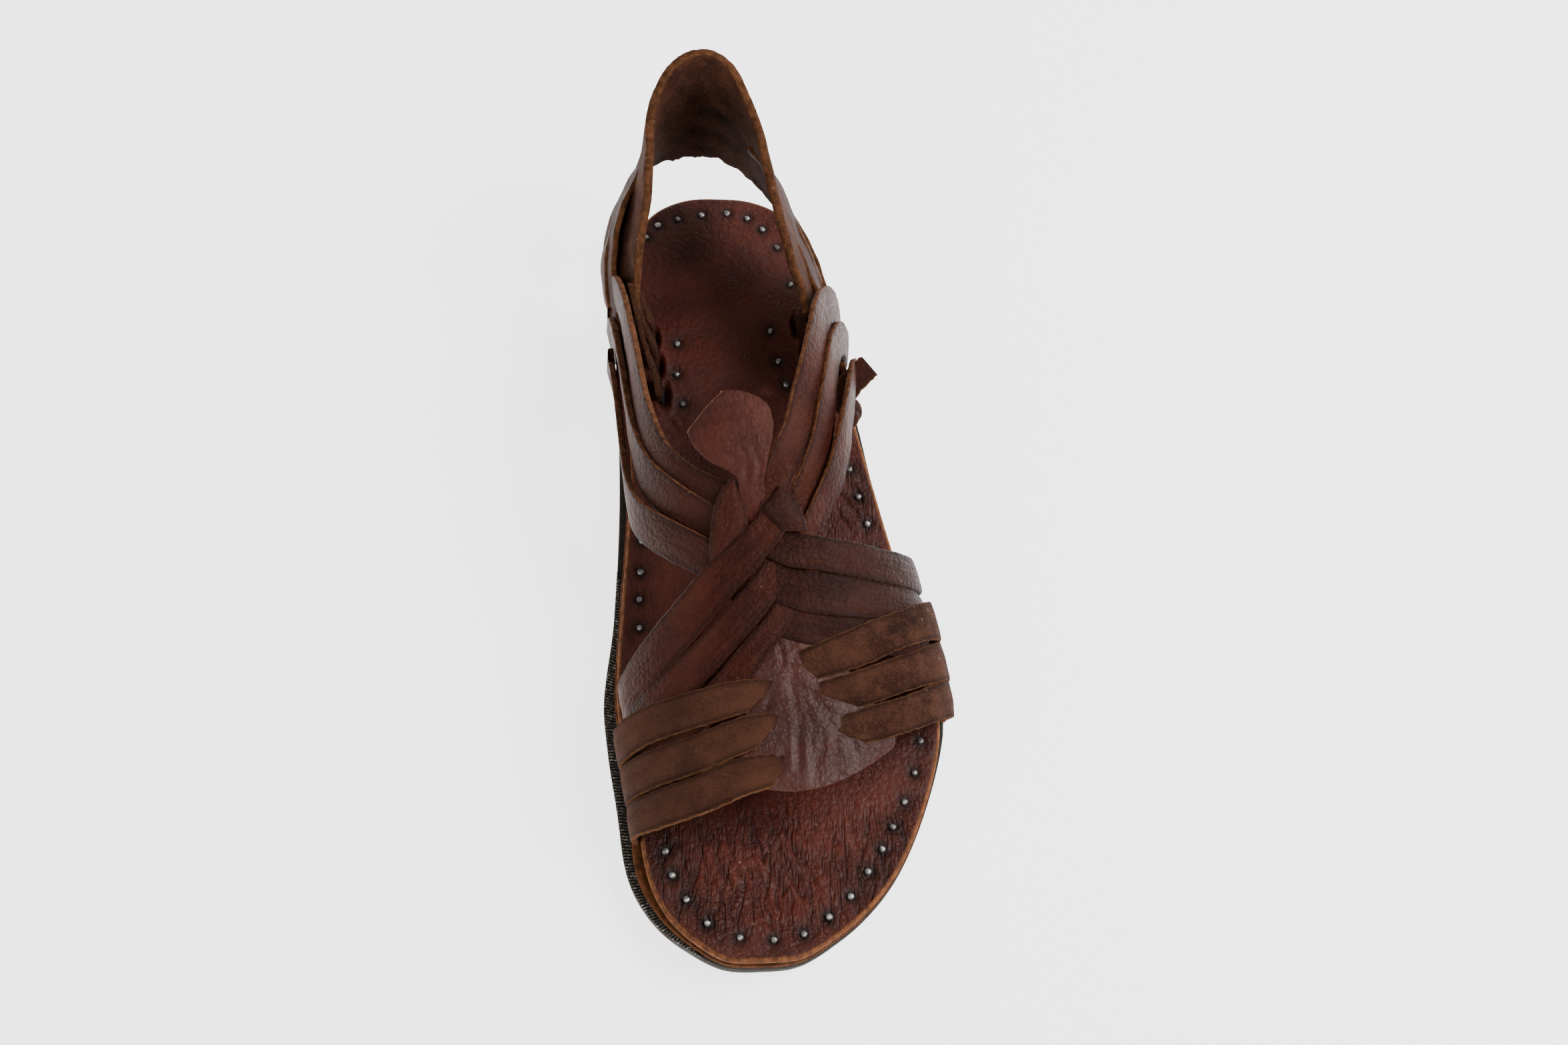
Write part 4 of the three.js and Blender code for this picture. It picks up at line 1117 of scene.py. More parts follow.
def fill_specks(t: Tree, i: Sockets) -> list[Socket]:
    """Dust: small discs at a share of scattered points.

    Args: t, its tree; i, its Vector and Share.
    Returns: mask.
    """
    cell = t.add("TexVoronoi", {"Vector": i["Vector"], "Scale": 330.0}, feature="F1")
    disc = t.step(cell.outputs["Distance"], 0.05, 0.16, 1, 0)
    pick = t.add("SeparateColor", {0: cell.outputs["Color"]}).outputs[0]
    return [t.times(disc, t.math("LESS_THAN", pick, i["Share"]))]


@dataclass
class Effects:
    """Shader groups that several materials share."""

    trees: dict[str, bpy.types.NodeTree] = field(default_factory=dict)

    def build(self) -> None:
        """Builds each group once, with its inputs' defaults."""
        zero = (0.0, 0.0, 0.0)
        for name, inputs, outputs, fill in (
            ("grain", {"Vector": zero, "Scale": 620.0}, ["Height", "Tone"], fill_grain),
            ("fibres", {"Lay": zero}, ["Value"], fill_fibres),
            ("raw_edge", {"Vector": zero, "Edge": 0.0, "Ragged": 0.8}, ["Mask", "Tone"],
             fill_raw_edge),
            ("nap", {"Vector": zero}, ["Height", "Tone"], fill_nap),
            ("mottle", {"Vector": zero, "Scale": 60.0}, ["Value"], fill_mottle),
            ("wrinkles", {"Vector": zero}, ["Depth"], fill_wrinkles),
            ("crackle", {"Vector": zero, "Scale": 420.0}, ["Depth"], fill_crackle),
            ("specks", {"Vector": zero, "Share": 0.04}, ["Mask"], fill_specks),
        ):
            self.trees[name] = shader_group(name, inputs, outputs, fill)

    def use(self, t: Tree, name: str, inputs: dict[str, Value]) -> Sockets:
        """Places a group in a material.

        Args: t, the material's tree; name, the group's name; inputs, its values and
            links.
        Returns: the outputs of the placed group.
        """
        node = t.add("Group", node_tree=self.trees[name])
        t.fill(node, inputs)
        return node.outputs


EFFECTS = Effects()


def new_material(name: str) -> tuple[bpy.types.Material, Tree, bpy.types.Node]:
    """Makes a node material.

    Args: name, the material's name.
    Returns: the material, its tree and its Principled shader.
    """
    material = bpy.data.materials.new(name)
    material.use_nodes = True
    return material, Tree(material.node_tree), material.node_tree.nodes["Principled BSDF"]


def place_on_piece(t: Tree) -> tuple[Socket, Socket, Sockets]:
    """Reads where a point is.

    Args: t, the material's tree.
    Returns: the place in space, the place in the leather, and the three parts of its
    wear: cut edge, stain and painted shade, and scuff and painted light.
    """
    spot = t.add("TexCoord").outputs["Object"]
    lay = t.add("Attribute", attribute_name="lay").outputs["Vector"]
    wear_and_painted_light = t.add("Attribute", attribute_name="wear_and_painted_light").outputs["Vector"]
    return spot, lay, t.add("SeparateXYZ", {0: wear_and_painted_light}).outputs


@dataclass(frozen=True)
class Leather:
    """Finish of a leather piece.

    mottle and grain_scale count features in a metre, and the other numbers are how
    strong each effect is. A wrinkled hide reads where from its distance across.
    """

    name: str
    base: Triple
    deep: Triple
    light: Triple
    edge: Triple = (0.27, 0.105, 0.034)
    rough: float = 0.46
    mottle: float = 55.0
    fibre: float = 0.3
    grain: float = 0.25
    grain_scale: float = 640.0
    nap: float = 0.0
    ragged: float = 0.9
    bump: float = 0.75
    dust: float = 0.03
    specular: float = 0.3
    crackle: float = 0.25
    wrinkled: bool = False

    # Colours that all leathers have in common, and how much of each shows.
    # Cracks are dark in the hide itself; the footbed's wrinkle folds take the crack colour as
    # painted shade.
    crack_and_fold_shade_colour: ClassVar[Triple] = (0.008, 0.003, 0.002)
    dust_colour: ClassVar[Triple] = (0.3, 0.2, 0.14)
    # The stain colour also paints shade: along strap rims, on flesh tips, in slots and folds, and
    # low on the band's inner face.
    stain_and_shade_colour: ClassVar[Triple] = (0.004, 0.002, 0.0015)
    deep_edge: ClassVar[float] = 0.42
    gloss_range: ClassVar[float] = 0.07

    def make(self) -> bpy.types.Material:
        """Builds the material from its tone, its gloss and its height.

        Returns: the material.
        """
        material, t, shader = new_material(self.name)
        spot, lay, worn = place_on_piece(t)
        seen = {
            "mottle": EFFECTS.use(t, "mottle", {"Vector": spot, "Scale": self.mottle}),
            "grain": EFFECTS.use(t, "grain", {"Vector": spot, "Scale": self.grain_scale}),
            "fibres": EFFECTS.use(t, "fibres", {"Lay": lay}),
            "edge": EFFECTS.use(t, "raw_edge", {"Vector": spot, "Edge": worn[0],
                                                "Ragged": self.ragged}),
            "nap": EFFECTS.use(t, "nap", {"Vector": spot}),
            "specks": EFFECTS.use(t, "specks", {"Vector": spot, "Share": self.dust}),
        }
        cracks_and_folds = t.times(EFFECTS.use(t, "crackle", {"Vector": spot})["Depth"], self.crackle)
        if self.wrinkled:
            zone = t.add("SeparateXYZ", {0: lay}).outputs[1]
            folds = t.times(EFFECTS.use(t, "wrinkles", {"Vector": spot})["Depth"], zone)
            # The footbed's folds join the cracks: in the bump, and as painted shade in the colour.
            cracks_and_folds = t.plus(cracks_and_folds, t.times(folds, 0.6))
        fibres, mask = seen["fibres"]["Value"], seen["edge"]["Mask"]
        gloss = t.step(fibres, 0, 1, self.rough + self.gloss_range, self.rough - self.gloss_range)
        t.fill(shader, {
            "Base Color": self.tone(t, seen, worn, cracks_and_folds),
            "Roughness": t.math("ADD", gloss, t.times(mask, 0.35), clamp=True),
            "Specular IOR Level": self.specular,
        })
        height = t.times(seen["grain"]["Height"], self.grain)
        height = t.plus(height, t.times(fibres, self.fibre * 0.5))
        height = t.math("SUBTRACT", height, t.times(cracks_and_folds, 0.9))
        if self.nap:
            height = t.plus(height, t.times(seen["nap"]["Height"], self.nap))
        height = t.plus(height, t.times(t.times(seen["edge"]["Tone"], mask), 0.5))
        t.bump(shader, height, self.bump)
        return material

    def tone(self, t: Tree, seen: dict[str, Sockets], worn: Sockets, cracks_and_folds: Socket) -> Socket:
        """Mixes the colour.

        It goes from deep to base with the mottling, towards light with fibres or nap, scuffs
        and painted light, to the edge's tan where it is cut, dark in cracks, dark as painted
        shade in wrinkle folds, and dark with stains and painted shade.

        Args: t, the material's tree; seen, outputs of the surface effects; worn, cut
            edge, stain and painted shade, and scuff and painted light; crack, depth of cracks
            and wrinkles.
        Returns: the colour.
        """
        tone = t.mix(seen["mottle"]["Value"], self.deep, self.base)
        if self.nap:
            tone = t.mix(t.times(seen["nap"]["Tone"], 0.75), tone, self.light)
        else:
            tone = t.mix(t.times(seen["fibres"]["Value"], self.fibre), tone, self.light)
            hollow = t.math("SUBTRACT", 1.0, seen["grain"]["Tone"])
            tone = t.mix(t.times(hollow, 0.5), tone, self.deep)
        # Scuffs lighten the tone, and so does painted light where it is set.
        tone = t.mix(t.times(worn[2], 0.3), tone, self.light)
        # Cracks darken the tone, and wrinkle folds as painted shade.
        tone = t.mix(t.times(cracks_and_folds, 0.65), tone, self.crack_and_fold_shade_colour)
        raw = t.mix(seen["edge"]["Tone"], tuple(c * self.deep_edge for c in self.edge), self.edge)
        tone = t.mix(seen["edge"]["Mask"], tone, raw)
        tone = t.mix(t.times(seen["specks"]["Mask"], 0.55), tone, self.dust_colour)
        # Stains, and painted shade, darken the tone towards the stain colour.
        return t.mix(worn[1], tone, self.stain_and_shade_colour)


@dataclass(frozen=True)
class Rubber:
    """Finish of tyre rubber: near black, scuffed, with pale cord threads where it is cut.

    Scuff value 1 marks where cord threads show, and threads is how clearly.
    """

    name: str
    threads: float
    base: Triple = (0.0042, 0.0039, 0.0036)
    worn: Triple = (0.014, 0.0125, 0.011)
    cord: Triple = (0.11, 0.092, 0.07)
    thread: Triple = (0.5, 0.47, 0.42)

    def make(self) -> bpy.types.Material:
        """Builds the material.

        Returns: the material.
        """
        material, t, shader = new_material(self.name)
        spot, _, worn = place_on_piece(t)
        mottle = EFFECTS.use(t, "mottle", {"Vector": spot, "Scale": 180.0})["Value"]
        grain = EFFECTS.use(t, "grain", {"Vector": spot, "Scale": 1400.0})
        nap = EFFECTS.use(t, "nap", {"Vector": spot})
        tone = t.mix(t.times(mottle, 0.8), self.base, self.worn)
        tone = t.mix(t.times(grain["Tone"], 0.25), tone, self.worn)
        flecks = t.step(t.noise(spot, 900.0, 3, 0.7), 0.5, 0.66)
        tone = t.mix(t.times(worn[2], 0.75), tone, self.cord)
        tone = t.mix(t.times(flecks, t.times(worn[2], self.threads)), tone, self.thread)
        t.fill(shader, {
            "Base Color": tone,
            "Roughness": t.step(mottle, 0, 1, 0.62, 0.85),
            "Specular IOR Level": 0.05,
        })
        t.bump(shader, t.plus(t.times(grain["Height"], 0.6), t.times(nap["Height"], 0.5)), 0.6)
        return material


@dataclass(frozen=True)
class Metal:
    """Finish of the nail heads: dull steel, hammered, with rust in patches."""

    name: str = "nail_steel"
    rust: Triple = (0.1, 0.085, 0.07)
    steel: Triple = (0.5, 0.485, 0.46)

    def make(self) -> bpy.types.Material:
        """Builds the material.

        Returns: the material.
        """
        material, t, shader = new_material(self.name)
        spot = t.add("TexCoord").outputs["Object"]
        mottle = EFFECTS.use(t, "mottle", {"Vector": spot, "Scale": 700.0})["Value"]
        t.fill(shader, {
            "Base Color": t.mix(mottle, self.rust, self.steel),
            "Roughness": t.step(mottle, 0, 1, 0.55, 0.3),
            "Metallic": 0.85,
        })
        t.bump(shader, t.noise(spot, 1600.0, 4, 0.6), 0.5, 0.0004)
        return material


# ---- sole ----------------------------------------------------------------------------------


def evenly(line: np.ndarray, count: int) -> np.ndarray:
    """Divides a line of points evenly.

    Args: line, (n, 2) points; count, how many points to make.
    Returns: (count, 2) points at even distances along the line.
    """
    run = run_of(line)
    at = np.linspace(0, run[-1], count)
    return np.stack([np.interp(at, run, line[:, k]) for k in (0, 1)], -1)


def below_bed(drop: float) -> HeightAt:
    """Returns the height function of a level that lies drop under the footbed's face."""
    return lambda along: FOOT.bed(along) - drop


def lift_wall(share: float) -> HeightAt:
    """Returns the height function of a share of the way up the heel lift."""
    return lambda along: (FOOT.bed(along) - STACK - 0.1) * share


def on_floor(along: np.ndarray) -> np.ndarray:
    """Returns the floor's height, 0, at each place."""
    return 0 * along


class Part(Enum):
    """Which part of a layer a ring lies on."""

    FACE = "face"
    SIDE = "side"
    UNDER = "under"


@dataclass(frozen=True)
class Ring:
    """One ring of a layer.

    inset is the distance in from the outline, share the share of the way from there to
    the spine, height gives z, and raw is how much of a cut side it is.
    """

    inset: float
    share: float
    height: HeightAt
    raw: float = 0.0
    part: Part = Part.SIDE


def side_rings(rows: list[Triple], level: Callable[[float], HeightAt]) -> list[Ring]:
    """Returns a rim's rings from inset, the number that level makes a height of, and raw."""
    return [Ring(inset, 0, level(number), raw) for inset, number, raw in rows]


def flat_rings(inset: float, shares: Sequence[float], height: HeightAt, raw: float,
               part: Part) -> list[Ring]:
    """Returns a flat face's rings, one for each share of the way to the spine."""
    return [Ring(inset, share, height, raw, part) for share in shares]


@dataclass
class Plate:
    """One layer of the sole: rings round its outline that shrink to a spine in its middle.

    The outline goes up the outer side and back down the inner side, from start to end
    along the shoe, with stations points on each side.
    """

    start: float
    end: float
    stations: int
    inner: HeightAt
    outer: HeightAt

    # Reach of the bell that smooths the outline, and the spine's distance from both ends.
    rounding: ClassVar[float] = 3.0
    rounding_span: ClassVar[float] = 9.0
    heel_margin: ClassVar[float] = 34.0
    toe_margin: ClassVar[float] = 36.0

    def __post_init__(self) -> None:
        """Lays out the outline, its outward directions and the spine.

        Each side is divided evenly from the middle of the heel to the middle of the toe,
        and the loop is smoothed with a bell curve so that no station makes a corner.
        """
        span = np.linspace(Foot.turn(self.start), Foot.turn(self.end), 500)
        along = LENGTH * (1 - np.cos(span)) / 2
        both = [np.stack([side(along), along], -1) for side in (self.outer, self.inner)]
        heel, toe = ((both[0][k] + both[1][k]) / 2 for k in (0, -1))
        sides = [evenly(np.concatenate([[heel], side, [toe]]), self.stations + 1) for side in both]
        loop = np.concatenate([sides[0], sides[1][-2:0:-1]])
        pitch = 2 * self.end / len(loop)
        reach = int(self.rounding_span / pitch)
        steps = np.arange(-reach, reach + 1)
        weights = np.exp(-((steps * pitch / self.rounding) ** 2) / 2)
        self.edge = sum(w * np.roll(loop, k, 0) for w, k in zip(weights / weights.sum(), steps))
        way = np.roll(self.edge, -1, 0) - np.roll(self.edge, 1, 0)
        self.out = unit(np.stack([way[:, 1], -way[:, 0]], -1))
        rank = np.arange(len(loop))
        share = np.minimum(rank, len(loop) - rank) / self.stations
        far = np.roll(self.edge[::-1], 1, 0)
        first = self.start + min(self.heel_margin, (self.end - self.start) / 3)
        last = self.end - self.toe_margin
        middle = (self.edge[:, 0] + far[:, 0]) / 2
        self.spine = np.stack([middle, first + share * (last - first)], -1)
        self.run = run_of(self.edge)

    def ring(self, inset: float, share: float) -> np.ndarray:
        """Returns (n, 2) x and along of the ring at that inset and share to the spine."""
        base = self.edge - self.out * inset
        return base + (self.spine - base) * share

    def build(self, name: str, rings: list[Ring],
              relief: Callable[[np.ndarray, np.ndarray, Ring], Relief]) -> bpy.types.Object:
        """Builds the plate.

        Args: name, the piece's name; rings, from the middle of the top over the rim and
            the wall to the middle of the underside; relief, called with x, along and the
            ring, gives change of height, stain and painted shade, scuff and painted light,
            and how wrinkled the hide is.
        Returns: the object.
        """
        points, lay, wear_and_painted_light = [], [], []
        for ring in rings:
            x, along = self.ring(ring.inset, ring.share).T
            rise, stain, scuff, zone = relief(x, along, ring)
            z = np.maximum(ring.height(along) + rise, 0)
            points.append(np.stack([x, -along, z], -1))
            lay.append(np.stack([self.run, zone, z], -1))
            wear_and_painted_light.append(np.stack([0 * z + ring.raw, stain, scuff], -1))
        faces = grid_faces(len(rings), len(self.edge))
        joined = (np.concatenate(part) for part in (lay, wear_and_painted_light))
        return make_piece(name, np.concatenate(points), faces, *joined, weld=True)


@dataclass(frozen=True)
class Dimple:
    """The hollow and the dark rings round a nail: depth, reach, and each stain's."""

    depth: float = 0.55
    reach: float = 2.3
    stain: float = 0.75
    stain_reach: float = 2.1
    halo: float = 0.35
    halo_reach: float = 4.2


@dataclass(frozen=True)
class Tread:
    """Grooves cut into the outsole from first to last along the shoe, and side bars."""

    first: float = 164.0
    last: float = 266.0
    depth: float = 2.6
    shares: tuple[float, ...] = (0.26, 0.5, 0.74)
    half_width: float = 2.2
    swing: float = 2.2
    swing_length: float = 22.0
    bar_start: float = 172.0
    bar_pitch: float = 14.0
    bar_reach: float = 8.0


@dataclass(frozen=True)
class LiftBars:
    """Bars cut across the underside of the heel lift."""

    first: float = 20.0
    last: float = 106.0
    start: float = 30.0
    pitch: float = 22.0
    depth: float = 2.4


@dataclass(frozen=True)
class ScribedLine:
    """An oval line scribed in the footbed beside the toes: its middle, reach and groove."""

    x: float = 12.0
    along: float = 210.0
    radius: float = 54.5
    squash: float = 0.87
    starts: float = 236.0
    depth: float = 0.16
    reach: float = 0.45


def window(along: np.ndarray, first: float, rise: float, last: float, fall: float) -> np.ndarray:
    """Returns 1 between two places, with smooth ends rise and fall millimetres long."""
    return soft((along - first) / rise) * soft((last - along) / fall)


def bars_at(along: np.ndarray, start: float, pitch: float) -> np.ndarray:
    """Returns how far a place is inside a bar, 0 to 1, with one bar for each pitch."""
    return soft((1.9 - np.abs((along - start + pitch / 2) % pitch - pitch / 2)) / 0.8)


@dataclass
class Sole:
    """The tyre sole, the heel lift, the midsole, the footbed and its nails."""

    stations: int = 400
    nail_radius: float = 1.08
    nail_proud: float = 0.7
    rib_pitch: float = 1.0
    dimple: Dimple = Dimple()
    tread: Tread = Tread()
    bars: LiftBars = LiftBars()
    line: ScribedLine = ScribedLine()
    # Places of the footbed painted lighter, as painted light where the straps and the heel
    # band shade it: x, along, reach across, reach along, strength.
    painted_light: Rows = field(default_factory=lambda: [
        [14.2, 85, 2.2, 1.8, 2.2], [-25, 156, 13, 27, 2.2], [0, 94, 15, 24, 0.9],
        [-2, 44, 16, 22, 0.35],
    ])

    def flare_in(self, along: np.ndarray) -> np.ndarray:
        """Returns x of the rubber's inner edge, a little fuller beside the toes."""
        fuller = 0.9 * soft((along - 165) / 30) + 0.9 * bell(along - 248, 17)
        return FOOT.inner(along) - FOOT.inner_flare(along) - fuller * soft((LENGTH - along) / 12)

    def flare_out(self, along: np.ndarray) -> np.ndarray:
        """Returns x of the rubber's outer edge."""
        return FOOT.outer(along) + FOOT.outer_flare(along)

    def bed_in(self, along: np.ndarray) -> np.ndarray:
        """Returns x of the footbed's inner edge, which stands back beside the big toe."""
        return FOOT.inner(along) + 0.5 + 0.6 * bell(along - 250, 18)

    def bed_out(self, along: np.ndarray) -> np.ndarray:
        """Returns x of the footbed's outer edge."""
        return FOOT.outer(along) - 0.4

    def mid_in(self, along: np.ndarray) -> np.ndarray:
        """Returns x of the midsole's inner edge, which stands out beside the big toe."""
        return FOOT.inner(along) - 1.8 * bell(along - 248, 17)

    def wrinkled_zone(self, x: np.ndarray, along: np.ndarray) -> np.ndarray:
        """Where the footbed is wrinkled: the toes, and strips at both sides of the ball.

        Args: x and along, places on the footbed.
        Returns: 0 to 1.
        """
        toes = window(along, 226, 14, 276, 10)
        outer_strip = soft((x - 22) / 12) * window(along, 95, 15, 175, 12)
        inner_strip = soft((-20 - x) / 5) * window(along, 136, 10, 184, 10)
        return np.maximum(np.maximum(toes, 0.55 * outer_strip), 0.5 * inner_strip)

    def wrinkles(self, x: np.ndarray, along: np.ndarray) -> tuple[np.ndarray, np.ndarray]:
        """Ridges and folds that run lengthwise and slant outwards.

        Waves are drawn out along one direction and bent by longer waves. A fold is a
        bell round the places where its waves pass through zero.

        Args: x and along, places on the footbed.
        Returns: ridges, -1 to 1, and folds, 0 to 1.
        """
        spot = np.stack([x, along], -1)
        turned = np.stack([(x * 0.92 - along * 0.39) / 2.9, (x * 0.39 + along * 0.92) / 16], -1)
        ridge = waves(turned + 0.5 * waves(spot, 17, 3)[:, None], 1.0, 11, 12)
        bent = turned * [0.8, 0.9] + 0.3 * waves(spot, 11, 4)[:, None]
        return ridge, bell(waves(bent, 1.0, 14, 10), 0.2)

    def bed_relief(self, x: np.ndarray, along: np.ndarray, ring: Ring) -> Relief:
        """Relief of the footbed: creases, dimples round the nails, slots and a line.

        A slot is a steep hollow with a swell round it, on ellipses round its middle.

        Args: x and along, places; ring, the ring they lie on.
        Returns: rise, stain with painted shade, scuff with painted light, and wrinkled zone.
        """
        if ring.part is Part.UNDER:
            return (0 * x,) * 4
        dimple, line = self.dimple, self.line
        face = 1 - ring.raw
        nails = np.array(NAILS)
        d = np.hypot(x[:, None] - nails[:, 0], along[:, None] - nails[:, 1])
        spot = np.stack([x, along], -1)
        zone = self.wrinkled_zone(x, along)
        ridge, fold = self.wrinkles(x, along)

        rise = -dimple.depth * bell(d, dimple.reach).sum(-1) + troughs(along, x, TOE_CREASES)
        rise += zone * (0.24 * ridge - 0.22 * fold)
        rise += 0.12 * waves(spot, 26, 12) + 0.05 * waves(spot, 5, 13)
        off_line = np.hypot(x - line.x, (along - line.along) * line.squash) - line.radius
        rise -= line.depth * bell(off_line, line.reach) * soft((along - line.starts) / 6)

        stain = dimple.stain * bell(d, dimple.stain_reach).max(-1)
        stain += dimple.halo * bell(d, dimple.halo_reach).max(-1)
        for slot_x, slot_along, half, wide, deep in SLOTS:
            e = ((along - slot_along) / half) ** 2 + ((x - slot_x) / wide) ** 2
            rise += 0.5 * bell(e - 2.6, 1) - deep * np.exp(-(e ** 1.5))
            # Painted shade: each slot's hollow is painted nearly black.
            stain = np.maximum(stain, 0.98 * bell(e, 0.9))
        heel = np.exp(-(((x + 4) / 11) ** 2 + ((along - 38) / 14) ** 2))
        stain = stain + 0.1 * heel * (0.6 + 0.4 * waves(spot, 14, 21))
        # Painted shade: darker along the wrinkles' folds and in the troughs of their ridges.
        stain = stain + zone * (0.16 * fold - 0.08 * np.minimum(ridge, 0))

        scuff = soft(0.5 + 0.5 * waves(spot, 30, 22)) * 0.8
        # Painted light on the places where the straps and the heel band shade the bed.
        for lit_x, lit_along, wide, half, strong in self.painted_light:
            off = ((x - lit_x) / wide) ** 2 + ((along - lit_along) / half) ** 2
            scuff += strong * np.exp(-off)
        stain, scuff = np.clip(stain * face, 0, 1), np.clip(scuff * face, 0, 2.5)
        return rise * face, stain, scuff, (zone + 0.12) * face

    def plain_relief(self, x: np.ndarray, along: np.ndarray, ring: Ring) -> Relief:
        """Relief of the midsole: slight unevenness, and the scuff of a cut side.

        Args: x and along, places; ring, the ring they lie on, not used.
        Returns: rise, stain, scuff and wrinkled zone.
        """
        spot = np.stack([x, along], -1)
        return 0.12 * waves(spot, 6, 41), 0.2 * soft(waves(spot, 9, 42)), 0 * x + 0.5, 0 * x

    def tread_relief(self, x: np.ndarray, along: np.ndarray, ring: Ring) -> Relief:
        """Relief of the outsole: three wandering grooves below, and bars at its sides.

        Args: x and along, places; ring, the ring they lie on.
        Returns: rise, stain, scuff and wrinkled zone.
        """
        rise = 0.1 * waves(np.stack([x, along], -1), 5, 51)
        if ring.part is Part.UNDER:
            cut = self.tread
            left, right = FOOT.inner(along), FOOT.outer(along)
            inside = window(along, cut.first, 4, cut.last, 4)
            wander = cut.swing * np.sin(along * 2 * np.pi / cut.swing_length)
            for share in cut.shares:
                d = np.abs(x - left - (right - left) * share - wander)
                rise = rise + cut.depth * inside * soft((cut.half_width - d) / 0.9)
            near = soft((cut.bar_reach - np.minimum(x - left, right - x)) / 1.5)
            rise = rise + cut.depth * inside * bars_at(along, cut.bar_start, cut.bar_pitch) * near
        return rise, 0 * x, 0 * x + 0.3, 0 * x

    def lift_relief(self, x: np.ndarray, along: np.ndarray, ring: Ring) -> Relief:
        """Relief of the heel lift: bars cut across its underside, and a light scuff.

        Args: x and along, places; ring, the ring they lie on.
        Returns: rise, stain, scuff and wrinkled zone.
        """
        rise = 0.06 * waves(np.stack([x, along], -1), 5, 61)
        if ring.part is Part.UNDER:
            cut = self.bars
            inside = (along > cut.first) * (along < cut.last)
            rise = np.maximum(rise, 0) + cut.depth * bars_at(along, cut.start, cut.pitch) * inside
        return rise, 0 * x, 0 * x + 0.3, 0 * x

    def build(self) -> dict[str, bpy.types.Object]:
        """Builds the layers, the ribs and the nails.

        Returns: the pieces by name.
        """
        made = {
            "footbed_leather": self.footbed(), "midsole_leather": self.midsole(),
            "tyre_outsole": self.outsole(), "heel_lift_rubber": self.heel_lift(),
        }
        made["tyre_ribs"] = self.ribs()
        made["nail_heads"] = self.nails()
        return made

    def footbed(self) -> bpy.types.Object:
        """Returns the footbed: a fine grid on top and a rounded rim."""
        plate = Plate(0.5, LENGTH - 0.6, self.stations, self.bed_in, self.bed_out)
        rings = flat_rings(1.9, np.linspace(1, 0, 64), below_bed(0), 0, Part.FACE)
        rings += side_rings([
            (1.5, 0.06, 0.4), (1.0, 0.2, 0.72), (0.5, 0.5, 0.9), (0, 1.1, 1), (0, 2, 1),
            (0.1, 2.9, 1),
        ], below_bed)
        rings += flat_rings(0.3, (0, 0.3, 0.7, 1), below_bed(2.95), 1, Part.UNDER)
        return plate.build("footbed_leather", rings, self.bed_relief)

    def midsole(self) -> bpy.types.Object:
        """Returns the midsole, whose side has a seam halfway down."""
        plate = Plate(0, LENGTH, 300, self.mid_in, FOOT.outer)
        rings = flat_rings(1.2, (1, 0.5, 0.1, 0), below_bed(3.02), 1, Part.FACE)
        rings += side_rings([
            (0.5, 3.1, 1), (0, 3.5, 1), (-0.1, 4.6, 1), (0.15, 5, 1), (-0.1, 5.4, 1), (0, 6.6, 1),
            (0.4, 6.95, 1),
        ], below_bed)
        rings += flat_rings(0.6, (0, 0.5, 1), below_bed(6.98), 1, Part.UNDER)
        return plate.build("midsole_leather", rings, self.plain_relief)

    def outsole(self) -> bpy.types.Object:
        """Returns the tyre outsole, with a fine grid below for its tread."""
        plate = Plate(0, LENGTH, self.stations, self.flare_in, self.flare_out)
        rings = flat_rings(1, (1, 0.6, 0.2, 0.06, 0), below_bed(7.05), 0, Part.FACE)
        rings += side_rings([
            (0.35, 7.15, 0), (0, 7.6, 0), (-0.1, 9, 0), (0, 11, 0), (0.1, 13, 0), (0.3, 14.4, 0),
            (0.9, 14.95, 0),
        ], below_bed)
        rings += flat_rings(1.6, np.linspace(0, 1, 46), below_bed(STACK), 2, Part.UNDER)
        return plate.build("tyre_outsole", rings, self.tread_relief)

    def heel_lift(self) -> bpy.types.Object:
        """Returns the heel lift: from the floor up to the outsole, and flat below."""
        plate = Plate(0, LIFT_FRONT, 220, self.flare_in, self.flare_out)
        rings = flat_rings(0.8, (1, 0.5, 0), lift_wall(1), 0, Part.FACE)
        rings += side_rings([
            (0.2, 0.99, 0), (0, 0.9, 0), (0, 0.6, 0), (0.05, 0.3, 0), (0.3, 0.06, 0),
        ], lift_wall)
        rings += flat_rings(1.1, np.linspace(0, 1, 26), on_floor, 2, Part.UNDER)
        return plate.build("heel_lift_rubber", rings, self.lift_relief)

    def ribs(self) -> bpy.types.Object:
        """Knurled edge of the tyre along the inner forefoot.

        A low half ellipse is carried along the flare; its height beats with the length
        along it, one rib for each pitch, and the ribs lean back along it.

        Returns: the object.
        """
        span = np.linspace(148, 276, 900)
        edge = np.stack([self.flare_in(span), -span], -1)
        run = run_of(edge)
        steps = np.arange(0, run[-1], self.rib_pitch / 7)
        along = np.interp(steps, run, span)
        edge = np.stack([np.interp(steps, run, edge[:, 0]), -along], -1)
        way = unit(np.gradient(edge, axis=0))
        out = np.stack([way[:, 1], -way[:, 0]], -1)
        fade = soft(steps / 8) * soft((run[-1] - steps) / 8)
        wide = (FOOT.inner_flare(along) * 0.5 + 0.9) * fade + 0.15
        turn = np.linspace(0, 2 * np.pi, 18, endpoint=False) + 0.1
        across, up = np.cos(turn), np.sin(turn)
        lean = steps[:, None] + across * 0.8
        uneven = waves(np.stack([lean, across * 3 + 0 * lean], -1), 5, 71)
        rib = 0.5 + 0.5 * np.sin(2 * np.pi * lean / self.rib_pitch + 0.8 * uneven)
        tall = np.where(up > 0, 0.6 + 0.6 * rib + 0.1 * uneven, 0.3)
        reach = wide[:, None] * (1 + 0.05 * rib)
        middle = edge + out * (0.15 - wide[:, None])
        plan = middle[:, None] + out[:, None] * (across * reach)[..., None]
        z = FOOT.bed(along)[:, None] - 7.25 + up * tall
        lay = np.stack([lean, across + 0 * lean, z], -1)
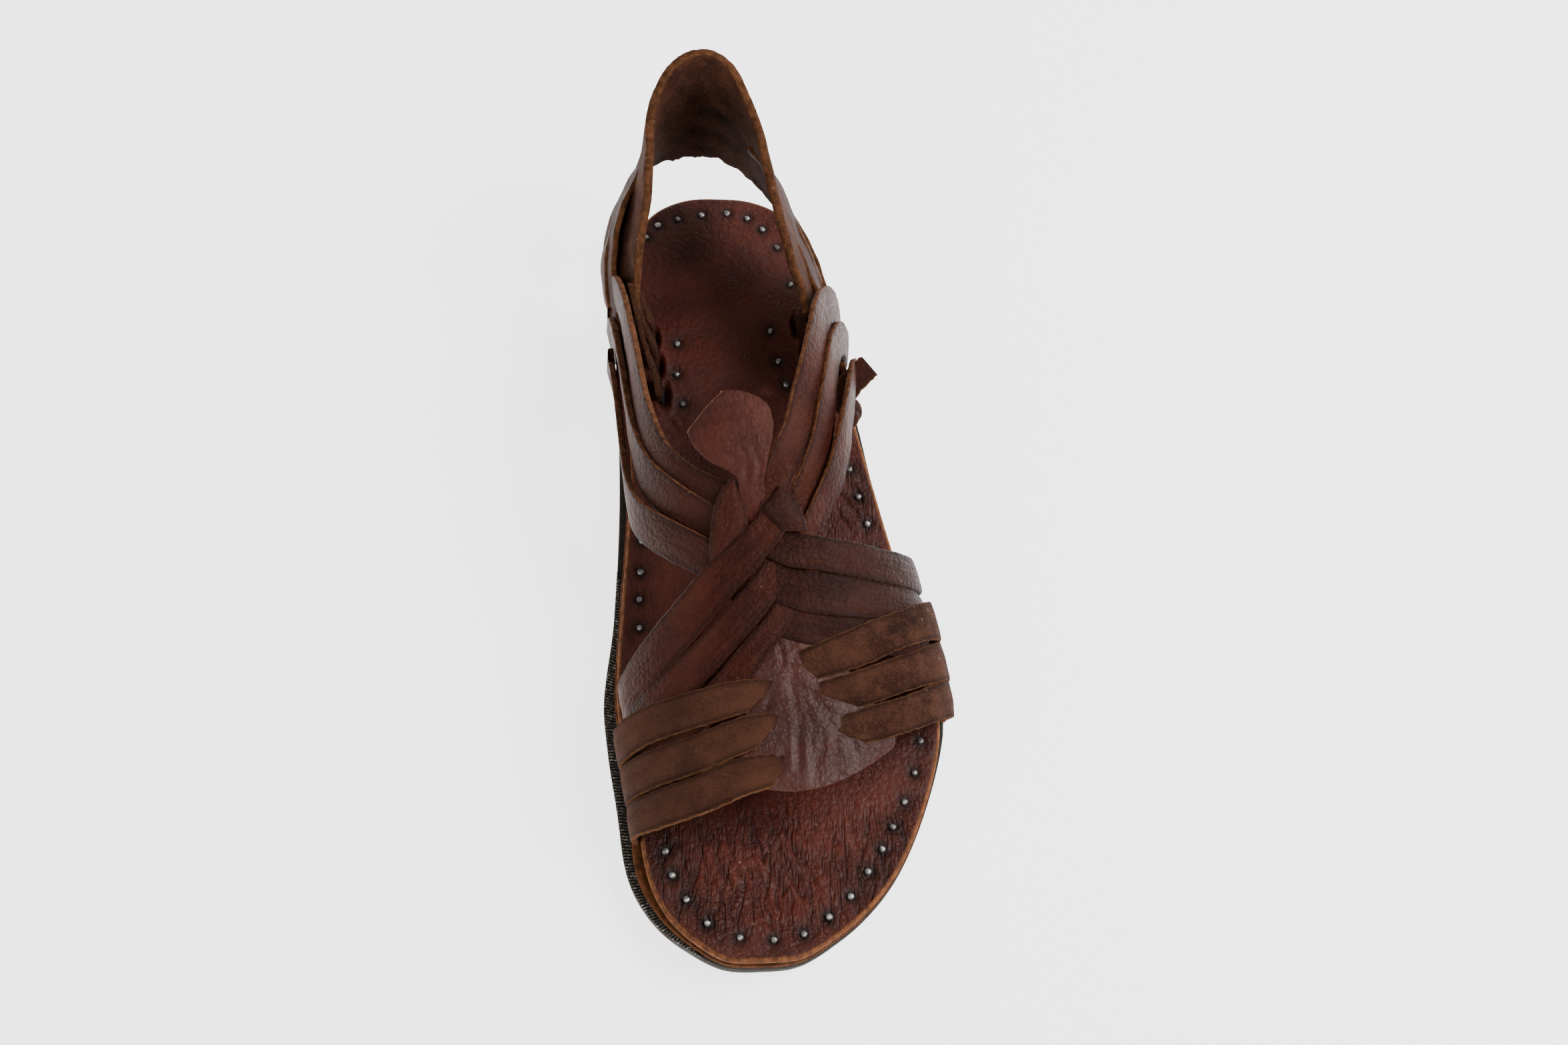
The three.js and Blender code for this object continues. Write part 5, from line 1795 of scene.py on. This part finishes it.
        wear_and_painted_light = np.stack([0 * z, 0 * z, soft(rib * 1.4 - 0.3) * (up > -0.2)], -1)
        points = np.concatenate([plan, z[..., None]], -1)
        return make_piece("tyre_ribs", points, capped_faces(*z.shape), lay, wear_and_painted_light)

    def nails(self) -> bpy.types.Object:
        """Nail heads: low domes with a hammered rim, each leaning a little its own way.

        Returns: one object of all the heads.
        """
        rng = np.random.default_rng(8)
        centres = np.array(NAILS)
        # Radius and height from the middle of the underside over the rim to the top.
        profile = np.array([
            [0, -1.2], [1.0, -1.2], [1.06, -0.2], [1.02, 0.3], [0.82, 0.56], [0.45, 0.68],
            [0, 0.7],
        ])
        turn = np.linspace(0, 2 * np.pi, 14, endpoint=False)
        radius = profile[:, 0, None] * self.nail_radius * (1 + 0.05 * np.sin(3 * turn + 1))
        size = rng.uniform(0.88, 1.06, (len(centres), 1, 1))
        lean = rng.normal(0, 0.1, (len(centres), 2, 1, 1))
        x, y = radius * np.cos(turn) * size, radius * np.sin(turn) * size
        tall = profile[:, 1, None] * self.nail_proud / profile[-1, 1]
        z = tall + 0 * x + lean[:, 0] * x + lean[:, 1] * y
        z = z + FOOT.bed(centres[:, 1])[:, None, None] - 0.12
        points = np.stack([x + centres[:, 0, None, None], y - centres[:, 1, None, None], z], -1)
        first = np.arange(len(centres))[:, None, None] * len(profile) * len(turn)
        faces = (first + grid_faces(len(profile), len(turn))).reshape(-1, 4)
        return make_piece("nail_heads", points, faces, points * 0, points * 0, weld=True)

    def dress(self, made: dict[str, bpy.types.Object]) -> None:
        """Gives each layer its finish and the node it stands for.

        Args: made, the pieces by name.
        """
        bed = Leather(
            "footbed_hide", (0.092, 0.0158, 0.0078), (0.043, 0.0084, 0.0048), (0.16, 0.046, 0.028),
            edge=(0.23, 0.082, 0.03), rough=0.46, grain=0.7, grain_scale=560, fibre=0.0, mottle=38,
            ragged=0.7, bump=0.85, wrinkled=True, crackle=0.35, specular=0.2,
        ).make()
        mid = Leather(
            "midsole_hide", (0.085, 0.03, 0.0115), (0.034, 0.013, 0.006), (0.14, 0.056, 0.023),
            edge=(0.13, 0.046, 0.0175), rough=0.7, grain=0.6, fibre=0.1, ragged=0.5, specular=0.08,
        ).make()
        rubber, knurled = Rubber("tyre_rubber", 0.12).make(), Rubber("tyre_cord", 0.85).make()
        nails = [f"nail_{n:02d}" for n in range(1, len(NAILS) + 1)]
        for name, nodes, slot, finish in (
            ("footbed_leather", ["footbed"], "footbed_leather", bed),
            ("midsole_leather", ["midsole"], "midsole_leather", mid),
            ("tyre_outsole", ["outsole"], "outsole_rubber", rubber),
            ("tyre_ribs", [], "outsole_rubber", knurled),
            ("heel_lift_rubber", ["heel_lift"], "heel_rubber", rubber),
            ("nail_heads", nails, "nail_metal", Metal().make()),
        ):
            settle(made[name], finish, nodes)


def settle(piece: bpy.types.Object, finish: bpy.types.Material,
           nodes: list[str]) -> None:
    """Finishes a piece.

    Args: piece, the piece; finish, its material; nodes, the nodes it stands for.
    """
    piece.data.materials.append(finish)
    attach(piece, "root")
    if nodes:
        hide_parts(*nodes)
    size = np.array(piece.dimensions) * MM_IN_M
    log.info("%s: %d faces, %.0f x %.0f x %.0f mm", piece.name, len(piece.data.polygons), *size)


# ---- upper ---------------------------------------------------------------------------------


@dataclass
class WovenUpper:
    """The twelve straps, their crossing, the tongue tab, the keeper and the toe fan.

    Each trio holds its strap's pleats, its tilt, or its turned-back end's slant.
    """

    inner_pleats: tuple[Triple, ...] = ((118, 9, 0.12), (127, 9, 0.12), (130, 9, 0.12))
    outer_pleats: tuple[Triple, ...] = ((128, 8, 0.0), (118, 9, 0.16), (122, 9, 0.14))
    inner_tilts: Triple = (0.8, 1.3, 1.5)
    outer_tilts: Triple = (-0.8, -1.5, -2)
    inner_slants: Triple = (-0.85, -0.9, -0.5)
    outer_slants: Triple = (0.3, 0.9, 0.7)
    # Painted light on the inner straps before the crossing, and on the inner returns.
    inner_painted_light: float = 0.8
    return_painted_light: float = 1.1

    def straps(self) -> list[tuple[Strap, str]]:
        """Lays out the straps in the order in which they are made.

        Returns: each strap with the name of its finish.
        """
        made = []
        for n, rows in enumerate(INNER_STRAPS):
            made.append((Strap(
                f"inner_strap_{n + 1}", rows, pleats=self.inner_pleats[n],
                tilt=self.inner_tilts[n], edges=(0.4, 1.25), turn_row=8.5, painted_light=self.inner_painted_light,
            ), "strap_smooth"))
        for n, rows in enumerate(OUTER_STRAPS):
            made.append((Strap(
                f"outer_strap_{n + 1}", rows, pleats=self.outer_pleats[n],
                tilt=self.outer_tilts[n], edges=(1.25, 0.4), turn_row=10,
            ), "strap_sheen"))
        for side, table, slants, lightening in (
            ("outer", OUTER_RETURNS, self.outer_slants, 0.0),
            ("inner", INNER_RETURNS, self.inner_slants, self.return_painted_light),
        ):
            for n, rows in enumerate(table):
                made.append((Strap(
                    f"{side}_return_{n + 1}", rows, hide=Hide.FLESH, slant=(0, slants[n]),
                    ragged=0.2, edges=(0.8, 0.8), painted_light=lightening,
                ), "strap_flesh"))
        for n, rows in enumerate(HEEL_TIES, 1):
            made.append((Strap(f"heel_tie_{n}", rows, hide=Hide.FLESH, ragged=0.3), "strap_flesh"))
        return made

    def patches(self) -> list[tuple[Strap, str]]:
        """Lays out the wide pieces.

        Returns: each piece with the name of its finish.
        """
        return [
            (Patch("tongue_tab", TONGUE_TAB, creases=TAB_CREASES, flat=40, per_row=14, crown=0.05,
                   thick=1.9, rim_shade=0.1, edges=(1.3, 0.5), turn_row=7.5), "tab_hide"),
            (Patch("toe_fan", TOE_FAN, creases=FAN_CREASES, flat=80, per_row=18, crown=0.4,
                   thick=1.9, rim_shade=0.12), "fan_hide"),
            (Patch("leaf", LEAF, flat=24, crown=0.5, thick=1.8), "strap_sheen"),
            (Patch("keeper", KEEPER, flat=26, crown=0.7, thick=1.8), "strap_smooth"),
        ]

    def build(self) -> Built:
        """Builds the straps and the wide pieces, each with its own seed.

        Returns: each piece with the name of its finish.
        """
        laid_out = enumerate(self.straps() + self.patches(), 100)
        return {strap.name: (strap.build(seed), finish) for seed, (strap, finish) in laid_out}

    def dress(self, made: Built) -> None:
        """Gives each piece its leather and lets the first stand for the whole upper.

        Args: made, each piece with the name of its finish.
        """
        dress_in([
            Leather(
                "strap_smooth", (0.034, 0.0069, 0.0039), (0.0165, 0.0038, 0.0025),
                (0.072, 0.0205, 0.0115), edge=(0.16, 0.064, 0.03), rough=0.47, fibre=0.4,
                specular=0.1, grain=0.8, bump=1.0,
            ),
            Leather(
                "strap_sheen", (0.052, 0.0094, 0.0046), (0.026, 0.0052, 0.0029),
                (0.098, 0.033, 0.019),
                edge=(0.17, 0.064, 0.027), rough=0.47, fibre=0.4, specular=0.09, grain=0.8,
                bump=1.0,
            ),
            Leather(
                "strap_flesh", (0.0305, 0.0108, 0.0062), (0.0145, 0.0056, 0.0036),
                (0.084, 0.034, 0.0195),
                edge=(0.15, 0.062, 0.027), rough=0.88, nap=0.9, grain=0.1, fibre=0.05, mottle=70,
                specular=0.08, dust=0.1, crackle=0.0,
            ),
            Leather(
                "tab_hide", (0.07, 0.0145, 0.0085), (0.036, 0.008, 0.005), (0.13, 0.04, 0.026),
                edge=(0.5, 0.24, 0.13), rough=0.5, fibre=0.2, grain=0.5, crackle=0.3, specular=0.14,
            ),
            Leather(
                "fan_hide", (0.06, 0.0125, 0.007), (0.031, 0.0072, 0.0045), (0.12, 0.043, 0.03),
                edge=(0.12, 0.045, 0.019), rough=0.34, fibre=0.2, grain=0.6, specular=0.18,
                crackle=0.22,
            ),
        ], made, ["upper"])


def dress_in(finishes: list[Leather], made: Built, stands_for: Sequence[str] = ()) -> None:
    """Gives pieces of the upper their leathers.

    Args: finishes, the leathers; made, each piece with the name of its finish;
        stands_for, the nodes that the first piece stands for.
    """
    ready = {finish.name: finish.make() for finish in finishes}
    for n, (piece, finish) in enumerate(made.values()):
        settle(piece, ready[finish], list(stands_for) if n == 0 else [])


# The knot: its middle, the cord's half width and half thickness, and its points.
KNOT_MIDDLE = (39.5, 104, 40)
KNOT_CORD = (1.9, 1.2)
KNOT_POINTS, KNOT_RING = 120, 12


@dataclass
class HeelCounter:
    """The heel band, the strips braided on its outside, and the tied thong."""

    band_creases: Rows = field(default_factory=lambda: [
        [4.6, 0.5, 8.2, 0.46, 1.2, 0.5], [5.0, 0.3, 8.0, 0.27, 1.1, 0.5],
        [5.6, 0.1, 7.8, 0.08, 1, 0.4], [4.8, 0.16, 6.2, 0.3, 1, 0.35],
        [5.6, 0.6, 6.6, 0.72, 1, 0.3],
    ])
    strip_thick: float = 2.1
    thong_thick: float = 2.2

    def build(self) -> Built:
        """Builds the band, the strips, the thong's end and the knot.

        Returns: each piece with the name of its finish.
        """
        band = Wall("heel_band", HEEL_BAND, BAND_WALL, creases=self.band_creases, ragged_low=0.8)
        made = {"heel_band": (band.build(300), "band_flesh")}
        for n, rows in enumerate(HEEL_STRIPS, 1):
            strip = Wall(f"heel_strip_{n}", rows, self.strip_thick, flat=12)
            made[strip.name] = (strip.build(310 + n), "strip_hide")
        thong = Wall("thong_tab", THONG_TAB, self.thong_thick, per_row=10, flat=12)
        made[thong.name] = (thong.build(330), "strip_hide")
        made["thong_knot"] = (self.knot(), "strip_hide")
        return made

    @staticmethod
    def knot() -> bpy.types.Object:
        """The knot: a closed cord wound round as a trefoil.

        Its middle line is sin t + 2 sin 2t across, cos t - 2 cos 2t along and minus
        sin 3t in height, each scaled, and an ellipse is carried along it.

        Returns: the object.
        """
        t = np.linspace(0, 2 * np.pi, KNOT_POINTS, endpoint=False)
        x, along, z = KNOT_MIDDLE
        line = np.stack([x + 1.5 * (np.sin(t) + 2 * np.sin(2 * t)) * 0.75,
                         -along + 1.5 * (np.cos(t) - 2 * np.cos(2 * t)) * 0.95,
                         z - 1.6 * np.sin(3 * t)], -1)
        way = unit(np.roll(line, -1, 0) - np.roll(line, 1, 0))
        side = unit(np.cross(way, [0.3, 0.2, 1.0]))
        up = np.cross(side, way)
        turn = np.linspace(0, 2 * np.pi, KNOT_RING, endpoint=False)
        wide, thick = KNOT_CORD
        points = line[:, None] + wide * side[:, None] * np.cos(turn)[:, None]
        points = points + thick * up[:, None] * np.sin(turn)[:, None]
        length, round_it = np.meshgrid(t * 4, turn, indexing="ij")
        flat = np.zeros_like(length)
        faces = grid_faces(KNOT_POINTS + 1, KNOT_RING) % (KNOT_POINTS * KNOT_RING)
        lay = np.stack([length, round_it, flat], -1)
        wear_and_painted_light = np.stack([flat + 0.3, flat, flat + 0.5], -1)
        return make_piece("thong_knot", points, faces, lay, wear_and_painted_light)

    def dress(self, made: Built) -> None:
        """Gives the band its flesh side and the strips their grain.

        Args: made, each piece with the name of its finish.
        """
        dress_in([
            Leather(
                "band_flesh", (0.038, 0.0105, 0.005), (0.0145, 0.0043, 0.0025),
                (0.085, 0.031, 0.0155),
                edge=(0.13, 0.05, 0.021), rough=0.82, nap=0.8, grain=0.1, fibre=0.05, mottle=70,
                specular=0.15, dust=0.05, crackle=0.0,
            ),
            Leather(
                "strip_hide", (0.042, 0.0095, 0.005), (0.019, 0.0044, 0.0027),
                (0.095, 0.032, 0.019),
                edge=(0.14, 0.055, 0.022), rough=0.55, fibre=0.45, grain=0.5, specular=0.08,
            ),
        ], made)


# ---- stage ---------------------------------------------------------------------------------


@dataclass
class Studio:
    """Pale floor, soft lights, and the camera above the toes.

    eye is the camera's place as x, along, z, and down and swing are its turns in
    degrees. The lights are name, place and size in metres, and power in watts.
    """

    eye: Triple = (-40.4, 366.3, 473.7)
    down: float = 63.0
    swing: float = 6.55
    focal: float = 35.0
    sensor: float = 36.0
    lights: tuple[tuple[str, Triple, float, float], ...] = (
        ("key", (0.85, 0.0, 1.1), 0.8, 23.0),
        ("back", (0.1, 1.2, 0.8), 0.8, 2.5),
        ("fill", (-0.8, -0.5, 1.15), 1.0, 8.0),
    )
    floor_half: float = 9.0
    floor_glow: float = 2.5
    dim_sky: Triple = (0.1, 0.1, 0.105)
    bright_sky: Triple = (0.42, 0.42, 0.44)

    def build(self) -> None:
        """Builds the floor, the lights, the sky and the camera."""
        self.floor()
        for name, place, size, power in self.lights:
            self.area(name, place, size, power)
        self.sky()
        self.camera()

    def sky(self) -> None:
        """A grey sky that grows brighter towards the outer side."""
        world = bpy.data.worlds.new("studio")
        bpy.context.scene.world = world
        world.use_nodes = True
        t = Tree(world.node_tree)
        across = t.add("SeparateXYZ", {0: t.add("TexCoord").outputs["Object"]}).outputs[0]
        shade = t.mix(t.step(across, -0.7, 0.5), self.dim_sky, self.bright_sky)
        t.fill(world.node_tree.nodes["Background"], {0: shade})

    def floor(self) -> None:
        """A wide plane at the foot of the sole, faintly uneven in tone and softly lit."""
        mesh = bpy.data.meshes.new("floor")
        half = self.floor_half
        corners = [(-half, -half, 0), (half, -half, 0), (half, half, 0), (-half, half, 0)]
        mesh.from_pydata(corners, [], [(0, 1, 2, 3)])
        floor = bpy.data.objects.new("floor", mesh)
        bpy.context.scene.collection.objects.link(floor)
        material, t, shader = new_material("floor_paper")
        cloudy = t.noise(t.add("TexCoord").outputs["Object"], 3.0, 2)
        t.fill(shader, {
            "Base Color": t.mix(cloudy, (0.86, 0.86, 0.87), (0.88, 0.88, 0.885)),
            "Roughness": 0.9, "Specular IOR Level": 0.2,
            "Emission Color": (1, 0.995, 0.985, 1), "Emission Strength": self.floor_glow,
        })
        mesh.materials.append(material)

    @staticmethod
    def area(name: str, place: Triple, size: float, power: float) -> None:
        """A square light that looks at the shoe.

        Args: name, its name; place, where it hangs, in metres; size, its side, in metres;
            power, its power, in watts.
        """
        data = bpy.data.lights.new(name, "AREA")
        data.size, data.energy = size, power
        light = bpy.data.objects.new(name, data)
        light.location = place
        light.rotation_euler = (-Vector(place)).to_track_quat("-Z", "Y").to_euler()
        bpy.context.scene.collection.objects.link(light)

    def camera(self) -> None:
        """The camera over the toes, looking down and back, swung to centre the shoe."""
        data = bpy.data.cameras.new("camera")
        data.lens, data.sensor_width = self.focal, self.sensor
        camera = bpy.data.objects.new("camera", data)
        x, along, z = self.eye
        place = (np.array([x, -along, z]) + ORIGIN) / MM_IN_M
        tip = Matrix.Rotation(math.radians(90 - self.down), 4, "X")
        swing = Matrix.Rotation(math.radians(-self.swing), 4, "Y")
        camera.matrix_world = Matrix.Translation(place) @ tip @ swing
        bpy.context.scene.collection.objects.link(camera)
        bpy.context.scene.camera = camera


def main() -> None:
    """Builds the sandal piece by piece, then the stage."""
    logging.basicConfig(level=logging.INFO, format="%(message)s")
    EFFECTS.build()
    for assembly in (Sole(), WovenUpper(), HeelCounter()):
        assembly.dress(assembly.build())
    Studio().build()


if __name__ == "__main__":
    main()
